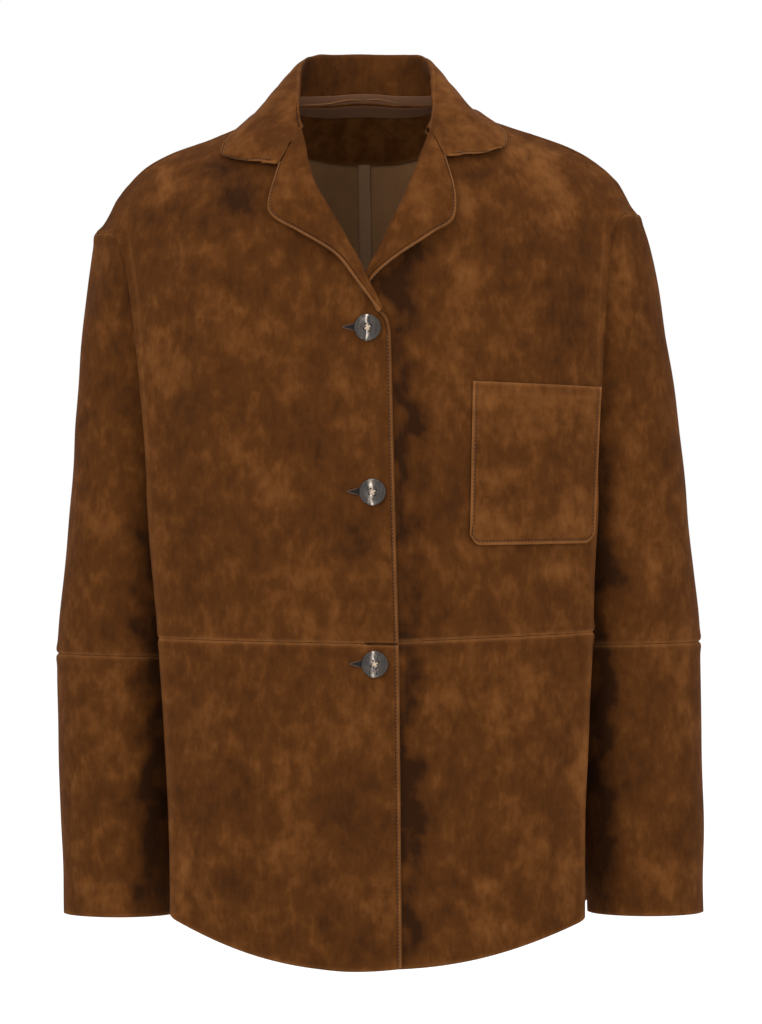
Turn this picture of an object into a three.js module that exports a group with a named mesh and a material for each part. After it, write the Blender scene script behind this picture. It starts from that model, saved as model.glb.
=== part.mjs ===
// A man's oversize suede shirt jacket, worn open at the neck, with nobody in it.
// Millimetres. +Z is up, the front faces -Y and +X is the wearer's left.
// The origin is in the middle of the neck, where shoulders or a hanger hold the jacket.
import * as THREE from 'three';

// Cloth thicknesses and the spaces between pieces
const shellWall = 1.6;
const collarWall = 2.2;
const trimWall = 1.0;
const seamGap = 0.3;
const pocketGap = 0.9;
const lipGap = 1;

// The body: it falls from the shoulder line over a rounded crest to its full depth
const crestDrop = 110;
const quarterTurn = Math.PI / 2;
const shoulderDepth = 6;
const shoulderSeamTurn = 0.25;
const neckCentre = -6.5;
const shoulderPlace = 0.64;
const centreLean = { top: -6.5, bottom: 5.6, fromZ: -40, toZ: -726 };
const frontRoundness = 2.6;
const backRoundness = 2.8;
const bodyHalfWidth = 190;
const foldShare = 0.66;
const hemBow = { right: 15, left: 12 };

// The lap: the wearer's right front lies over the left, which is hollow just beyond its edge
const lapLift = { edge: 4, neck: 6, neckZ: -165, neckWidth: 26 };
const lapHollow = { x: 35, width: 9, depth: 5, topZ: -190, bottomZ: -650 };

// Buttons
const button = { radius: 11, thick: 2.6, bevel: 0.5, holeRadius: 0.95, holeOffset: 2.1, lift: 0.8 };
const buttonPlaces = [
  { name: 'button_top', x: -2.6, z: -198.3 },
  { name: 'button_middle', x: 1.5, z: -333.5 },
  { name: 'button_bottom', x: 3.4, z: -475.3 },
];

// Chest pocket, seen from the front
const pocket = { topLeft: [83.6, -242], topRight: [191.5, -245.5] };
const pocketFoot = { left: [81.1, -377.5], right: [185.8, -376] };
const pocketCorner = { size: 9, down: 0.85, across: 0.42 };

// Makes the rows of a table from its column names and its values
function table(columns, ...rows) {
  return rows.map((row) => Object.fromEntries(columns.map((name, i) => [name, row[i]])));
}

// Height of the shoulder line, from shoulder to shoulder, seen from the front
const ridge = table(['at', 'z'],
  [-235, -114], [-229, -101], [-218, -87], [-207, -73], [-193, -59], [-172, -46],
  [-134, -32], [-100, -17], [-72, 0], [-40, 16], [neckCentre, 26], [27, 16],
  [59, 1], [87, -12], [105, -18.5], [147, -32], [180, -46], [199, -59],
  [213, -73], [224, -87], [229, -101]);

// Depth of the body at its middle and at its side folds, by height
const depths = table(['at', 'front', 'frontSide', 'back', 'backSide'],
  [-740, -114, -61, 101, 74],
  [-600, -112, -61, 97, 74],
  [-457, -112, -60, 92, 74],
  [-330, -115, -60, 98, 76],
  [-230, -118, -59, 107, 78],
  [-150, -113, -58, 105, 78],
  [-80, -105, -57, 100, 76],
  [20, -98, -56, 92, 74]);

// The neckline from the middle of the back to the front end of the collar:
// how far out it lies, and how far it has turned down from the shoulder line (back is minus)
const neckline = table(['at', 'out', 'turn'],
  [0, 0, -0.61], [0.2, 36, -0.47], [0.4, 60, -0.2], [0.55, 65, 0.1],
  [0.7, 64, 0.35], [0.85, 60, 0.6], [1, 52, 0.88]);

// Each front's side, row by row from the shoulder seam (0) by the underarm (8) and
// the waist seam (10) to the hem (13): the fold over the sleeve and the seam behind it.
// It is the wearer's right side, and wider and raise say how the left one differs.
const sideColumns = ['at', 'foldX', 'foldZ', 'reach', 'endX', 'endY', 'endZ', 'handX', 'handY',
  'wider', 'raise'];
const frontSide = table(sideColumns,
  [0, -216, -90, 6, -234, -9, -113, 4, 6, -7, 16],
  [1, -208, -97, 9, -222, -27, -114, 2, -4, -6.5, 16],
  [2, -203, -112, 11, -211, -38, -122, -4, -7, -7, 14],
  [3, -199, -134, 13, -203, -43, -141, -5, -11, -5.5, 12],
  [4, -193, -172, 14, -195, -45, -175, -9, -9, -2.5, 10],
  [5, -189, -225, 16, -184, -42, -225, -10, -14, 0, 7],
  [6, -186, -275, 19, -170, -34, -275, -11, -21, 1.5, 5],
  [7, -183, -315, 23, -157, -18, -315, -9, -29, 3, 3],
  [8, -181.5, -345, 25, -147, 10, -345, -8, -36, 4, 2],
  [9, -177, -400, 25, -144, 10, -400, -8, -42, 4.7, 3],
  [10, -172, -455.5, 26, -142, 10, -455.5, -8, -44, 8, 5],
  [11, -166, -535, 26, -142, 10, -532, -8, -44, 10, 3],
  [12, -162.5, -612, 24, -142, 10, -604, -8, -44, 11, 1],
  [13, -162.5, -690, 22, -142, 10, -676, -8, -44, 11, -2]);
const backSide = table(sideColumns,
  [0, -216, -90, 6, -234, -9, -113, 4, 6, -7, 16],
  [1, -215, -87, 9, -232, 13, -117, 3, 2, -7, 16],
  [2, -211, -96, 10, -223, 34, -126, 1, 6, -7, 14],
  [3, -206, -120, 12, -213, 48, -144, -4, 6, -5.5, 12],
  [4, -199, -162, 14, -204, 57, -176, -10, 3, -2.5, 10],
  [5, -192, -217, 17, -191, 59, -225, -11, 11, 0, 7],
  [6, -187, -271, 20, -174, 53, -275, -12, 18, 1.5, 5],
  [7, -184, -314, 23, -159, 37, -315, -10, 27, 3, 3],
  [8, -182, -345, 25, -147, 10, -345, -8, 34, 4, 2],
  [9, -179, -400, 25, -144, 10, -400, -8, 38, 4.7, 3],
  [10, -176, -455.5, 26, -142, 10, -455.5, -8, 38, 8, 5],
  [11, -175, -535, 26, -142, 10, -532, -8, 38, 10, 3],
  [12, -174, -612, 24, -142, 10, -604, -8, 38, 11, 1],
  [13, -174, -686, 22, -142, 10, -676, -8, 38, 11, -2]);
const underarm = 8;
const waist = 10;
const hem = 13;
const levelFrom = 3;
const levelAll = 7;
const rollStart = 2;
const rollEnd = 6;

// The front edges below the lapels and the middle of the back, by the same rows
const edges = table(['at', 'rightX', 'leftX', 'rightZ', 'leftZ'],
  [6, 7, -6.3, -183.6, -163.7],
  [6.2, 12.8, -11, -189, -174],
  [6.5, 15.9, -14, -198, -189],
  [7, 17, -17, -217, -214],
  [8, 18.7, -20, -290, -290],
  [9, 20.8, -20, -374, -374],
  [10, 23.1, -20, -459, -459],
  [11, 24.2, -20, -548, -548],
  [12, 25, -19, -637, -637],
  [13, 25.8, -18, -726, -726]);
const backMiddle = table(['at', 'z'],
  [3, 6], [4, -26], [5, -68], [6, -125], [7, -187], [8, -262], [9, -358], [10, -459], [11, -548],
  [12, -637], [13, -728]);

// The lapels: the roll line, the outer edge, and how far the lapel stands off the front
const lapelColumns = ['at', 'rollX', 'rollZ', 'edgeX', 'edgeZ', 'stand'];
const rightLapel = table(lapelColumns,
  [0, -57.3, -33.5, -73.7, -64, 4],
  [0.27, -49, -70, -84, -100, 4.5],
  [0.36, -45, -81, -80.5, -107.5, 4.5],
  [0.54, -33, -101, -57.6, -121, 5],
  [0.72, -17, -129, -29.4, -139.5, 7.5],
  [0.88, -3, -156, -12, -161, 4.5],
  [1, 9, -182, 5.2, -185.2, 2]);
const leftLapel = table(lapelColumns,
  [0, 48.7, -34, 58.7, -58, 4.5],
  [0.27, 36, -69, 69.5, -95, 5],
  [0.36, 31.5, -80, 68, -108.5, 6],
  [0.54, 22, -101, 50, -122, 8],
  [0.72, 9.5, -127, 24, -139.5, 9],
  [0.88, -1.5, -148, 5.5, -154, 4.5],
  [1, -8, -162, -4.5, -165.6, 1.2]);
const lapelEnd = { from: 0.74, rollRadius: 2.6, panelInset: 2.4 };
const rollRadius = 5;
const rollShift = 0.6;
const lapelSwell = 1.5;
const lapelTopGap = 5;
const panelInset = 5.5;
const facingLip = 13;
const lapelShares = { lip: 0.2, roll: 0.5 };

// The collar from the middle of the back to its front end: the fold, the middle of the fall
// and the outer edge. Out is measured from the collar's own middle, turn as on the neckline.
const collarSections = table(
  ['at', 'foldOut', 'foldY', 'foldZ', 'fallOut', 'fallTurn', 'fallLift', 'edgeOut', 'edgeTurn',
    'edgeLift'],
  [0, 0, 67, 46, 0, -0.8, 25, 0, -0.98, 5],
  [0.2, 28, 62, 45.5, 37, -0.68, 25, 42, -0.88, 5],
  [0.4, 48, 38, 41.5, 59, -0.35, 20, 74, -0.5, 5],
  [0.55, 54, 10, 34, 67, 0, 15, 88, -0.05, 4.5],
  [0.7, 57, -18, 20, 74, 0.33, 11, 99, 0.27, 4.5],
  [0.85, 57, -52, -5, 83, 0.62, 8.5, 113, 0.49, 5],
  [0.95, 55, -74, -23, 80, 0.95, 7, 124.5, 0.66, 5],
  [1, 53, -86, -30, 68, 1.1, 6, 119, 0.75, 5]);
const collar = {
  centre: -4.3, leftLeafRaise: 0.06, leftLeafNarrower: 3.5, roll: 7.5, footLift: 0.5,
  foldShare: 0.4, standRise: 0.45, endFrom: 0.86,
};

// The collar's front end, seen from the front: down the gorge to the notch, then out along
// the lower edge of the leaf, and how far it stands off the front
const collarEnd = table(['at', 'rightX', 'rightZ', 'leftX', 'leftZ', 'lift'],
  [0.4, -57.3, -30, 48.7, -30, 0],
  [0.5, -64, -44, 52.5, -42, 4.5],
  [0.6, -71.5, -60, 58, -55, 6],
  [0.645, -76, -64, 62, -58, 6],
  [0.7, -84, -63, 70, -57, 6],
  [0.85, -103, -59, 91, -53.5, 5.5],
  [1, -119, -55.5, 107, -48.5, 5]);

// The gorge seam joins the top of each lapel to the end of the collar, as far as the notch
const gorge = { from: 0.35, notch: 0.63, fade: 0.22, gap: 0.35, foldGap: 3.4 };

// The sleeves from the armhole (0) by the elbow seam (8) to the cuff (11), wearer's right
const sleeveSections = table(
  ['at', 'outerX', 'outerZ', 'innerX', 'innerZ', 'depth', 'y', 'outerWider', 'innerWider', 'raise'],
  [0, -234, -113, -147, -345, 51, 7, -7, 4, 16],
  [1, -238, -136, -150, -349, 49.5, 7, -2, 4.5, 14],
  [2, -242, -163, -153, -354, 49, 7, 1, 5, 10],
  [3, -246, -200, -156, -361, 49, 7, 4, 5.5, 6],
  [4, -249, -245, -158.5, -370, 49.5, 7, 9, 6, 3],
  [5, -252, -295, -160.5, -382, 50, 7, 12, 6.5, 2],
  [6, -256, -345, -161.5, -400, 51, 8, 13, 7, 2],
  [7, -262, -405, -162, -430, 51, 8, 13, 8, 4],
  [8, -267, -470, -162, -472, 50, 8, 13, 9, 10],
  [9, -266, -540, -162.5, -540, 49, 7, 15.5, 12, 4],
  [10, -264, -612, -163.5, -612, 48, 6, 19, 16, 2],
  [11, -261, -691, -164.5, -691, 45, 5, 22, 19.5, 1]);
const elbow = 8;
const cuff = 11;
const headFade = 3.5;
const armholeRows = {
  front: [0, 0.5, 1, 1.5, 2, 2.5, 3, 3.5, 4.1, 4.6, 5.1, 5.6, 6, 6.4, 7.2, 8],
  back: [0, 0.5, 1, 1.5, 2, 2.5, 3, 3.5, 4.1, 4.8, 5.6, 6.4, 7.2, 8],
};
const mitreLimit = -0.3;

// Inside the neck: the facing below the neckline, the tape over its seam, and the back seam
const facing = { deep: 46, inset: 1.3, turnLength: 75, spread: 12 };
const neckTape = { deep: 10, inset: 0.4 };
const seamTape = { halfWidth: 5.5, topZ: -56, footZ: -452, inset: 0.9 };

// The largest folds of the body, seen from the front: a line from one end to the other,
// how wide the fold is, and how far it comes forward (a minus sinks in)
const foldColumns = ['x', 'z', 'toX', 'toZ', 'width', 'rise'];
const frontFolds = table(foldColumns,
  [-150, -120, -128, -330, 20, 4],
  [-96, -150, -84, -430, 24, -3],
  [-120, -470, -132, -690, 17, 4],
  [-60, -500, -72, -715, 20, -3.5],
  [150, -120, 132, -235, 20, 3.5],
  [62, -200, 58, -440, 15, 3.5],
  [140, -465, 150, -690, 18, 4],
  [88, -480, 84, -700, 22, -3.5]);
const backFolds = table(foldColumns,
  [-120, -130, -104, -420, 26, 4],
  [112, -150, 100, -430, 26, 4],
  [-60, -480, -70, -710, 24, 4.5],
  [66, -490, 74, -705, 24, 4],
  [-132, -500, -140, -680, 18, -3.5],
  [134, -500, 142, -680, 18, -3.5]);

// Colours
const suede = { color: 0x6b4322, roughness: 0.95, metalness: 0 };
const suedePale = { color: 0x7a4f2c, roughness: 0.95, metalness: 0 };
const fleshSide = { color: 0x5c4632, roughness: 1, metalness: 0 };
const tapeCloth = { color: 0x6a4526, roughness: 0.9, metalness: 0 };
const horn = { color: 0x2b2724, roughness: 0.35, metalness: 0 };

const jacket = new THREE.Group();

function clamp(value, low, high) {
  return Math.min(Math.max(value, low), high);
}

function mix(a, b, share) {
  return a + (b - a) * share;
}

function easeBetween(low, high, value) {
  const t = clamp((value - low) / (high - low), 0, 1);
  return t * t * (3 - 2 * t);
}

// Reads one column of a table at any place, as a smooth curve that never runs past its rows
function read(rows, column, at) {
  const last = rows.length - 1;
  let i = 0;
  while (i < last - 1 && rows[i + 1].at <= at) {
    i += 1;
  }
  const slopeAt = (k) => {
    const steep = (m) => (rows[m + 1][column] - rows[m][column]) / (rows[m + 1].at - rows[m].at);
    const before = steep(Math.max(k - 1, 0));
    const after = steep(Math.min(k, last - 1));
    if (before * after <= 0) {
      return 0;
    }
    const least = 3 * Math.min(Math.abs(before), Math.abs(after));
    return Math.sign(before) * Math.min(Math.abs(before + after) / 2, least);
  };
  const span = rows[i + 1].at - rows[i].at;
  const t = clamp((at - rows[i].at) / span, 0, 1);
  const rise = rows[i + 1][column] - rows[i][column];
  const startSlope = slopeAt(i) * span;
  const endSlope = slopeAt(i + 1) * span;
  const bend = startSlope + endSlope - 2 * rise;
  return rows[i][column] + t * (startSlope + t * (rise - startSlope - bend + t * bend));
}

// How far the folds of one face come out at a place on it
function foldRise(folds, x, z) {
  let total = 0;
  for (const fold of folds) {
    const dx = fold.toX - fold.x;
    const dz = fold.toZ - fold.z;
    const along = ((x - fold.x) * dx + (z - fold.z) * dz) / (dx * dx + dz * dz);
    const across = Math.hypot(x - fold.x - along * dx, z - fold.z - along * dz) / fold.width;
    const ends = easeBetween(-0.15, 0.25, along) * easeBetween(1.15, 0.75, along);
    total += fold.rise * ends * Math.exp(-across * across);
  }
  return total;
}

function centreAt(z) {
  const share = clamp((z - centreLean.fromZ) / (centreLean.toZ - centreLean.fromZ), 0, 1);
  return mix(centreLean.top, centreLean.bottom, share);
}

// The lap's own step: the upper front rises at its edge, the lower one sinks beside it
function lapStep(side, x, z) {
  if (side < 0) {
    const neck = (z - lapLift.neckZ) / lapLift.neckWidth;
    const edge = lapLift.edge * easeBetween(-105, -150, z) * easeBetween(-48, -20, x);
    return edge + lapLift.neck * Math.exp(-neck * neck) * easeBetween(-75, -5, x);
  }
  const across = (x - lapHollow.x) / lapHollow.width;
  const ends = easeBetween(lapHollow.topZ, lapHollow.topZ - 40, z)
    * easeBetween(lapHollow.bottomZ, lapHollow.bottomZ + 60, z);
  return -lapHollow.depth * ends * Math.exp(-across * across);
}

// Full depth of the body's front (face 1) or back (face -1) at a place seen from the front
function fullDepth(face, side, x, z) {
  const isFront = face > 0;
  const middle = read(depths, isFront ? 'front' : 'back', z);
  const edge = read(depths, isFront ? 'frontSide' : 'backSide', z);
  const roundness = isFront ? frontRoundness : backRoundness;
  const out = clamp(Math.abs(x - centreAt(z)) / bodyHalfWidth, 0, 1.15);
  const plain = mix(middle, edge, out ** roundness);
  if (isFront) {
    return plain - foldRise(frontFolds, x, z) - lapStep(side, x, z);
  }
  return plain + foldRise(backFolds, x, z);
}

// A point of the body: seen from the front it lies at x, and turn says how far it has come
// down from the shoulder line, to the front when plus and to the back when minus
function bodyPoint(side, x, turn) {
  const size = Math.abs(turn);
  const drop = size < quarterTurn ? 1 - Math.cos(size) : 1 + size - quarterTurn;
  const z = read(ridge, 'z', x) - crestDrop * drop;
  const reach = Math.sin(Math.min(size, quarterTurn));
  const full = fullDepth(Math.sign(turn), side, x, z);
  return new THREE.Vector3(x, mix(shoulderDepth, full, reach), z);
}

// The turn at which the body has come down to a height
function turnAt(face, x, z) {
  const drop = Math.max(read(ridge, 'z', x) - z, 0) / crestDrop;
  return face * (drop < 1 ? Math.acos(1 - drop) : quarterTurn + drop - 1);
}

function bodyPointAt(face, side, x, z) {
  return bodyPoint(side, x, turnAt(face, x, z));
}

// The direction square to a surface that is given as a function of two numbers,
// which run between their limits
function directionOf(surface, a, b, [aLow, aHigh, bLow, bHigh]) {
  const step = 1e-3;
  const down = surface(Math.min(a + step, aHigh), b).sub(surface(Math.max(a - step, aLow), b));
  const across = surface(a, Math.min(b + step, bHigh)).sub(surface(a, Math.max(b - step, bLow)));
  return down.cross(across).normalize();
}

// Two walls that meet at a seam share one direction there, unless they lie back to back
function mitre(own, mates) {
  const shared = own.clone();
  for (const mate of mates) {
    if (own.dot(mate) > mitreLimit) {
      shared.add(mate);
    }
  }
  return shared.normalize();
}

function steps(from, to, count) {
  return Array.from({ length: count + 1 }, (_, i) => mix(from, to, i / count));
}

// A wall of cloth: the outer points of a surface, the same points moved in, and closed edges.
// Rows and columns are the values of the surface's two numbers, and a round wall joins up.
function clothWall(name, look, surface, rows, columns, options = {}) {
  const { wall = shellWall, flip = 1, round = false } = options;
  const limits = [rows[0], rows.at(-1), columns[0], columns.at(-1)];
  const plain = (a, b) => directionOf(surface, a, b, limits).multiplyScalar(flip);
  const direction = options.direction ?? plain;
  const width = columns.length;
  const count = rows.length * width;
  const outer = [];
  const inner = [];
  for (const a of rows) {
    for (const b of columns) {
      const point = surface(a, b);
      const inward = direction(a, b).multiplyScalar(-wall);
      outer.push(point.x, point.y, point.z);
      inner.push(point.x + inward.x, point.y + inward.y, point.z + inward.z);
    }
  }
  const faces = [];
  const quad = (a, b, c, d) => faces.push(a, b, c, a, c, d);
  const next = (j) => (j + 1) % width;
  const lastColumn = round ? width : width - 1;
  for (let i = 0; i < rows.length - 1; i += 1) {
    for (let j = 0; j < lastColumn; j += 1) {
      const [a, b] = [i * width + j, (i + 1) * width + j];
      const [c, d] = [(i + 1) * width + next(j), i * width + next(j)];
      quad(a, b, c, d);
      quad(count + a, count + d, count + c, count + b);
    }
    if (!round) {
      const right = i * width + width - 1;
      quad(i * width, i * width + count, (i + 1) * width + count, (i + 1) * width);
      quad(right, right + width, right + width + count, right + count);
    }
  }
  for (let j = 0; j < lastColumn; j += 1) {
    const foot = (rows.length - 1) * width;
    quad(j, next(j), next(j) + count, j + count);
    quad(foot + j, foot + j + count, foot + next(j) + count, foot + next(j));
  }
  if (flip < 0) {
    faces.reverse();
  }
  const geometry = new THREE.BufferGeometry();
  geometry.setAttribute('position', new THREE.Float32BufferAttribute([...outer, ...inner], 3));
  geometry.setIndex(faces);
  geometry.computeVertexNormals();
  addPiece(name, geometry, look);
}

function addPiece(name, geometry, look) {
  const mesh = new THREE.Mesh(geometry, new THREE.MeshStandardMaterial(look));
  mesh.name = name;
  jacket.add(mesh);
  return mesh;
}

// A side table's row on one side of the body: -1 is the wearer's right, 1 the left
function sideRow(rows, side, at) {
  const wider = side > 0 ? read(rows, 'wider', at) : 0;
  const raise = side > 0 ? read(rows, 'raise', at) : 0;
  const outward = (column) => side * (wider - read(rows, column, at));
  return {
    fold: { x: outward('foldX'), z: read(rows, 'foldZ', at) + raise },
    end: new THREE.Vector3(outward('endX'), read(rows, 'endY', at), read(rows, 'endZ', at) + raise),
    hand: new THREE.Vector3(-side * read(rows, 'handX', at), read(rows, 'handY', at), 0),
    reach: read(rows, 'reach', at),
  };
}

// Where a row starts: on the neckline, then on the roll line or the middle of the back,
// then on the front edge
function rowStart(face, side, at) {
  if (face < 0) {
    if (at < 3) {
      const place = mix(shoulderPlace, 0, at / 3);
      const out = side * read(neckline, 'out', place);
      return { x: neckCentre + out, turn: read(neckline, 'turn', place) };
    }
    const z = read(backMiddle, 'z', at);
    const x = centreAt(z);
    return { x, turn: turnAt(-1, x, z) };
  }
  if (at < rollStart) {
    const place = mix(shoulderPlace, 1, at / rollStart);
    const out = side * read(neckline, 'out', place);
    return { x: neckCentre + out, turn: read(neckline, 'turn', place) };
  }
  const roll = (at - rollStart) / (rollEnd - rollStart);
  const inset = mix(panelInset, lapelEnd.panelInset, easeBetween(lapelEnd.from, 1, roll));
  const sideName = side < 0 ? 'right' : 'left';
  const edge = { x: read(edges, `${sideName}X`, at), z: read(edges, `${sideName}Z`, at) };
  const { x, z } = at < rollEnd ? rollPlace(side, roll, inset) : edge;
  return { x, turn: turnAt(1, x, z) };
}

// A place on a front's lapel, seen from the front, so far across from the roll line
function rollPlace(side, at, across) {
  const rows = side < 0 ? rightLapel : leftLapel;
  const rollX = read(rows, 'rollX', at);
  const rollZ = read(rows, 'rollZ', at);
  const wide = read(rows, 'edgeX', at) - rollX;
  const down = read(rows, 'edgeZ', at) - rollZ;
  const width = Math.hypot(wide, down);
  const share = across / width;
  return { x: rollX + wide * share, z: rollZ + down * share, width, stand: read(rows, 'stand', at) };
}

// The shape of a front or back panel: along its row to the fold, then round it to the seam
function panelPoint(face, side, at, along) {
  const sideRows = face > 0 ? frontSide : backSide;
  const { fold, end, hand, reach } = sideRow(sideRows, side, at);
  const start = rowStart(face, side, at);
  const foldTurn = at < 1e-6 ? shoulderSeamTurn : rowFoldTurn(face, fold, at);
  const startZ = bodyPoint(side, start.x, start.turn).z;
  const low = Math.max(at - waist, 0) / (hem - waist);
  const bow = (side < 0 ? hemBow.right : hemBow.left) * 4 * low * low;
  const plain = (share) => {
    const x = mix(start.x, fold.x, share);
    const turned = bodyPoint(side, x, mix(start.turn, foldTurn, share));
    if (at <= levelFrom) {
      return turned;
    }
    const level = mix(startZ, fold.z, share) - bow * share * (1 - share);
    const z = mix(turned.z, level, easeBetween(levelFrom, levelAll, at));
    return bodyPointAt(face, side, x, z);
  };
  if (along <= foldShare) {
    return plain(along / foldShare);
  }
  const t = (along - foldShare) / (1 - foldShare);
  const from = plain(1);
  const forward = from.clone().sub(plain(0.98)).normalize();
  const curve = new THREE.CubicBezierCurve3(
    from,
    from.clone().addScaledVector(forward, reach),
    end.clone().add(hand),
    end,
  );
  return curve.getPoint(t);
}

// The first rows of a panel leave the shoulder seam, which lies in front of the shoulder line
function rowFoldTurn(face, fold, at) {
  const turned = turnAt(face, fold.x, fold.z);
  return mix(shoulderSeamTurn, turned, easeBetween(0, 1, at));
}

function ownPanelDirection(face, side, at, along) {
  const surface = (a, b) => panelPoint(face, side, a, b);
  return directionOf(surface, at, along, [0, hem, 0, 1]).multiplyScalar(face * side);
}

function panelDirection(face, side, at, along) {
  const mates = [];
  if (at === 0 || (along === 1 && at >= underarm)) {
    mates.push(ownPanelDirection(-face, side, at, along));
  }
  if (along === 1 && at <= underarm) {
    const round = at / underarm / 2;
    mates.push(ownSleeveDirection(side, 0, face > 0 ? round : 1 - round));
  }
  return mitre(ownPanelDirection(face, side, at, along), mates);
}

function buildPanel(face, side) {
  const sideName = side < 0 ? 'right' : 'left';
  const faceName = face > 0 ? 'front' : 'back';
  const direction = (at, along) => panelDirection(face, side, at, along);
  const options = { flip: face * side, direction };
  const columns = [...steps(0, foldShare, 9), ...steps(foldShare, 1, 6).slice(1)];
  const middleGap = face < 0 ? side * seamGap / 2 : 0;
  const upper = (at, along) => {
    const point = panelPoint(face, side, at, along);
    point.x += middleGap * Math.max(1 - along * 4, 0);
    point.y -= face * seamGap / 2;
    return point;
  };
  const lower = (at, along) => {
    const point = upper(at, along);
    point.z -= seamGap * Math.max(1 - (at - waist), 0);
    return point;
  };
  const upperRows = [...armholeRows[faceName], ...steps(underarm, waist, 4).slice(1)];
  const lowerRows = steps(waist, hem, 8);
  clothWall(`${sideName}_${faceName}_upper`, suede, upper, upperRows, columns, options);
  clothWall(`${sideName}_${faceName}_lower`, suede, lower, lowerRows, columns, options);
}

// The loop of the armhole: 0 is the shoulder, a half the underarm, and the front comes first
function armholePoint(side, round) {
  const isFront = round <= 0.5;
  const at = underarm * (isFront ? round * 2 : 2 - round * 2);
  return sideRow(isFront ? frontSide : backSide, side, at).end;
}

// The angle round the sleeve of a place on the armhole, by its height
function ringAngle(side, round) {
  const top = armholePoint(side, 0).z;
  const foot = armholePoint(side, 0.5).z;
  const height = clamp((armholePoint(side, round).z - foot) / (top - foot), 0, 1);
  const angle = Math.acos(2 * height - 1);
  return round <= 0.5 ? angle : 2 * Math.PI - angle;
}

// An even ring of the sleeve, between its outer and its inner line
function sleeveRing(side, at, angle) {
  const cell = (column) => read(sleeveSections, column, at);
  const outerWider = side > 0 ? cell('outerWider') : 0;
  const innerWider = side > 0 ? cell('innerWider') : 0;
  const raise = side > 0 ? cell('raise') : 0;
  const fall = raise * Math.min(at / elbow, 1);
  const outerX = side * (outerWider - cell('outerX'));
  const innerX = side * (innerWider - cell('innerX'));
  const outer = new THREE.Vector3(outerX, cell('y'), cell('outerZ') + raise);
  const inner = new THREE.Vector3(innerX, cell('y'), cell('innerZ') + fall);
  const point = outer.lerp(inner, (1 - Math.cos(angle)) / 2);
  point.y -= cell('depth') * Math.sin(angle);
  return point;
}

// The sleeve starts on the loop of its armhole and settles into even rings
function sleevePoint(side, at, turned) {
  const round = turned - Math.floor(turned);
  const angle = ringAngle(side, round);
  const point = sleeveRing(side, at, angle);
  const fade = easeBetween(headFade, 0, at);
  if (fade > 0) {
    const loop = armholePoint(side, round);
    const middle = sleeveRing(side, 0, 0).lerp(sleeveRing(side, 0, Math.PI), 0.5);
    const clear = middle.sub(loop).setX(0).normalize().setX(side);
    loop.addScaledVector(clear, seamGap);
    point.addScaledVector(loop.sub(sleeveRing(side, 0, angle)), fade);
  }
  return point;
}

function ownSleeveDirection(side, at, round) {
  const surface = (a, b) => sleevePoint(side, a, b);
  return directionOf(surface, at, round, [0, cuff, -1, 2]).multiplyScalar(-side);
}

function sleeveDirection(side, at, round) {
  const own = ownSleeveDirection(side, at, round);
  if (at > 0) {
    return own;
  }
  const panelAt = underarm * (round <= 0.5 ? round * 2 : 2 - round * 2);
  const faces = round === 0 || round === 0.5 ? [1, -1] : [round < 0.5 ? 1 : -1];
  return mitre(own, faces.map((face) => ownPanelDirection(face, side, panelAt, 1)));
}

function buildSleeve(side) {
  const sideName = side < 0 ? 'right' : 'left';
  const frontHalf = armholeRows.front.map((at) => at / underarm / 2);
  const backHalf = armholeRows.back.slice(1, -1).map((at) => 1 - at / underarm / 2);
  const columns = [...frontHalf, ...backHalf.reverse()];
  const direction = (at, round) => sleeveDirection(side, at, round);
  const options = { flip: -side, round: true, direction };
  const upper = (at, round) => sleevePoint(side, at, round);
  const lower = (at, round) => {
    const point = sleevePoint(side, at, round);
    point.z -= seamGap * Math.max(1 - (at - elbow), 0);
    return point;
  };
  clothWall(`${sideName}_sleeve_upper`, suede, upper, steps(0, elbow, 11), columns, options);
  clothWall(`${sideName}_sleeve_lower`, suede, lower, steps(elbow, cuff, 6), columns, options);
}

// The outward direction of the body's own surface
function bodyDirection(face, side, x, z) {
  const step = 0.5;
  const wide = bodyPointAt(face, side, x + step, z).sub(bodyPointAt(face, side, x - step, z));
  const high = bodyPointAt(face, side, x, z + step).sub(bodyPointAt(face, side, x, z - step));
  return wide.cross(high).multiplyScalar(face).normalize();
}

function bodyTurnDirection(side, x, turn) {
  const step = 0.01;
  const wide = bodyPoint(side, x + 1, turn).sub(bodyPoint(side, x - 1, turn));
  const down = bodyPoint(side, x, turn + step).sub(bodyPoint(side, x, turn - step));
  return down.cross(wide).normalize();
}

// A lapel's section goes from its lip inside the front, round the roll and out to its edge
function lapelPoint(side, at, along) {
  const place = rollPlace(side, at, 0);
  const under = shellWall + lipGap + collarWall;
  const over = mix(rollRadius, lapelEnd.rollRadius, easeBetween(lapelEnd.from, 1, at));
  const radius = (over + under) / 2;
  const turnX = radius - rollShift;
  let across = turnX;
  let out = over;
  if (along < lapelShares.lip) {
    across = mix(facingLip, turnX, along / lapelShares.lip);
    out = -under;
  } else if (along < lapelShares.roll) {
    const angle = Math.PI * (along - lapelShares.lip) / (lapelShares.roll - lapelShares.lip);
    across = turnX - radius * Math.sin(angle);
    out = (over - under) / 2 - radius * Math.cos(angle);
  } else {
    const share = (along - lapelShares.roll) / (1 - lapelShares.roll);
    across = mix(turnX, place.width, share);
    out = mix(over, place.stand + collarWall, share) + lapelSwell * Math.sin(Math.PI * share);
  }
  const foot = rollPlace(side, at, across);
  const point = bodyPointAt(1, side, foot.x, foot.z - lapelTopGap * Math.max(1 - at * 4, 0));
  return point.addScaledVector(bodyDirection(1, side, foot.x, foot.z), out);
}

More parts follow.
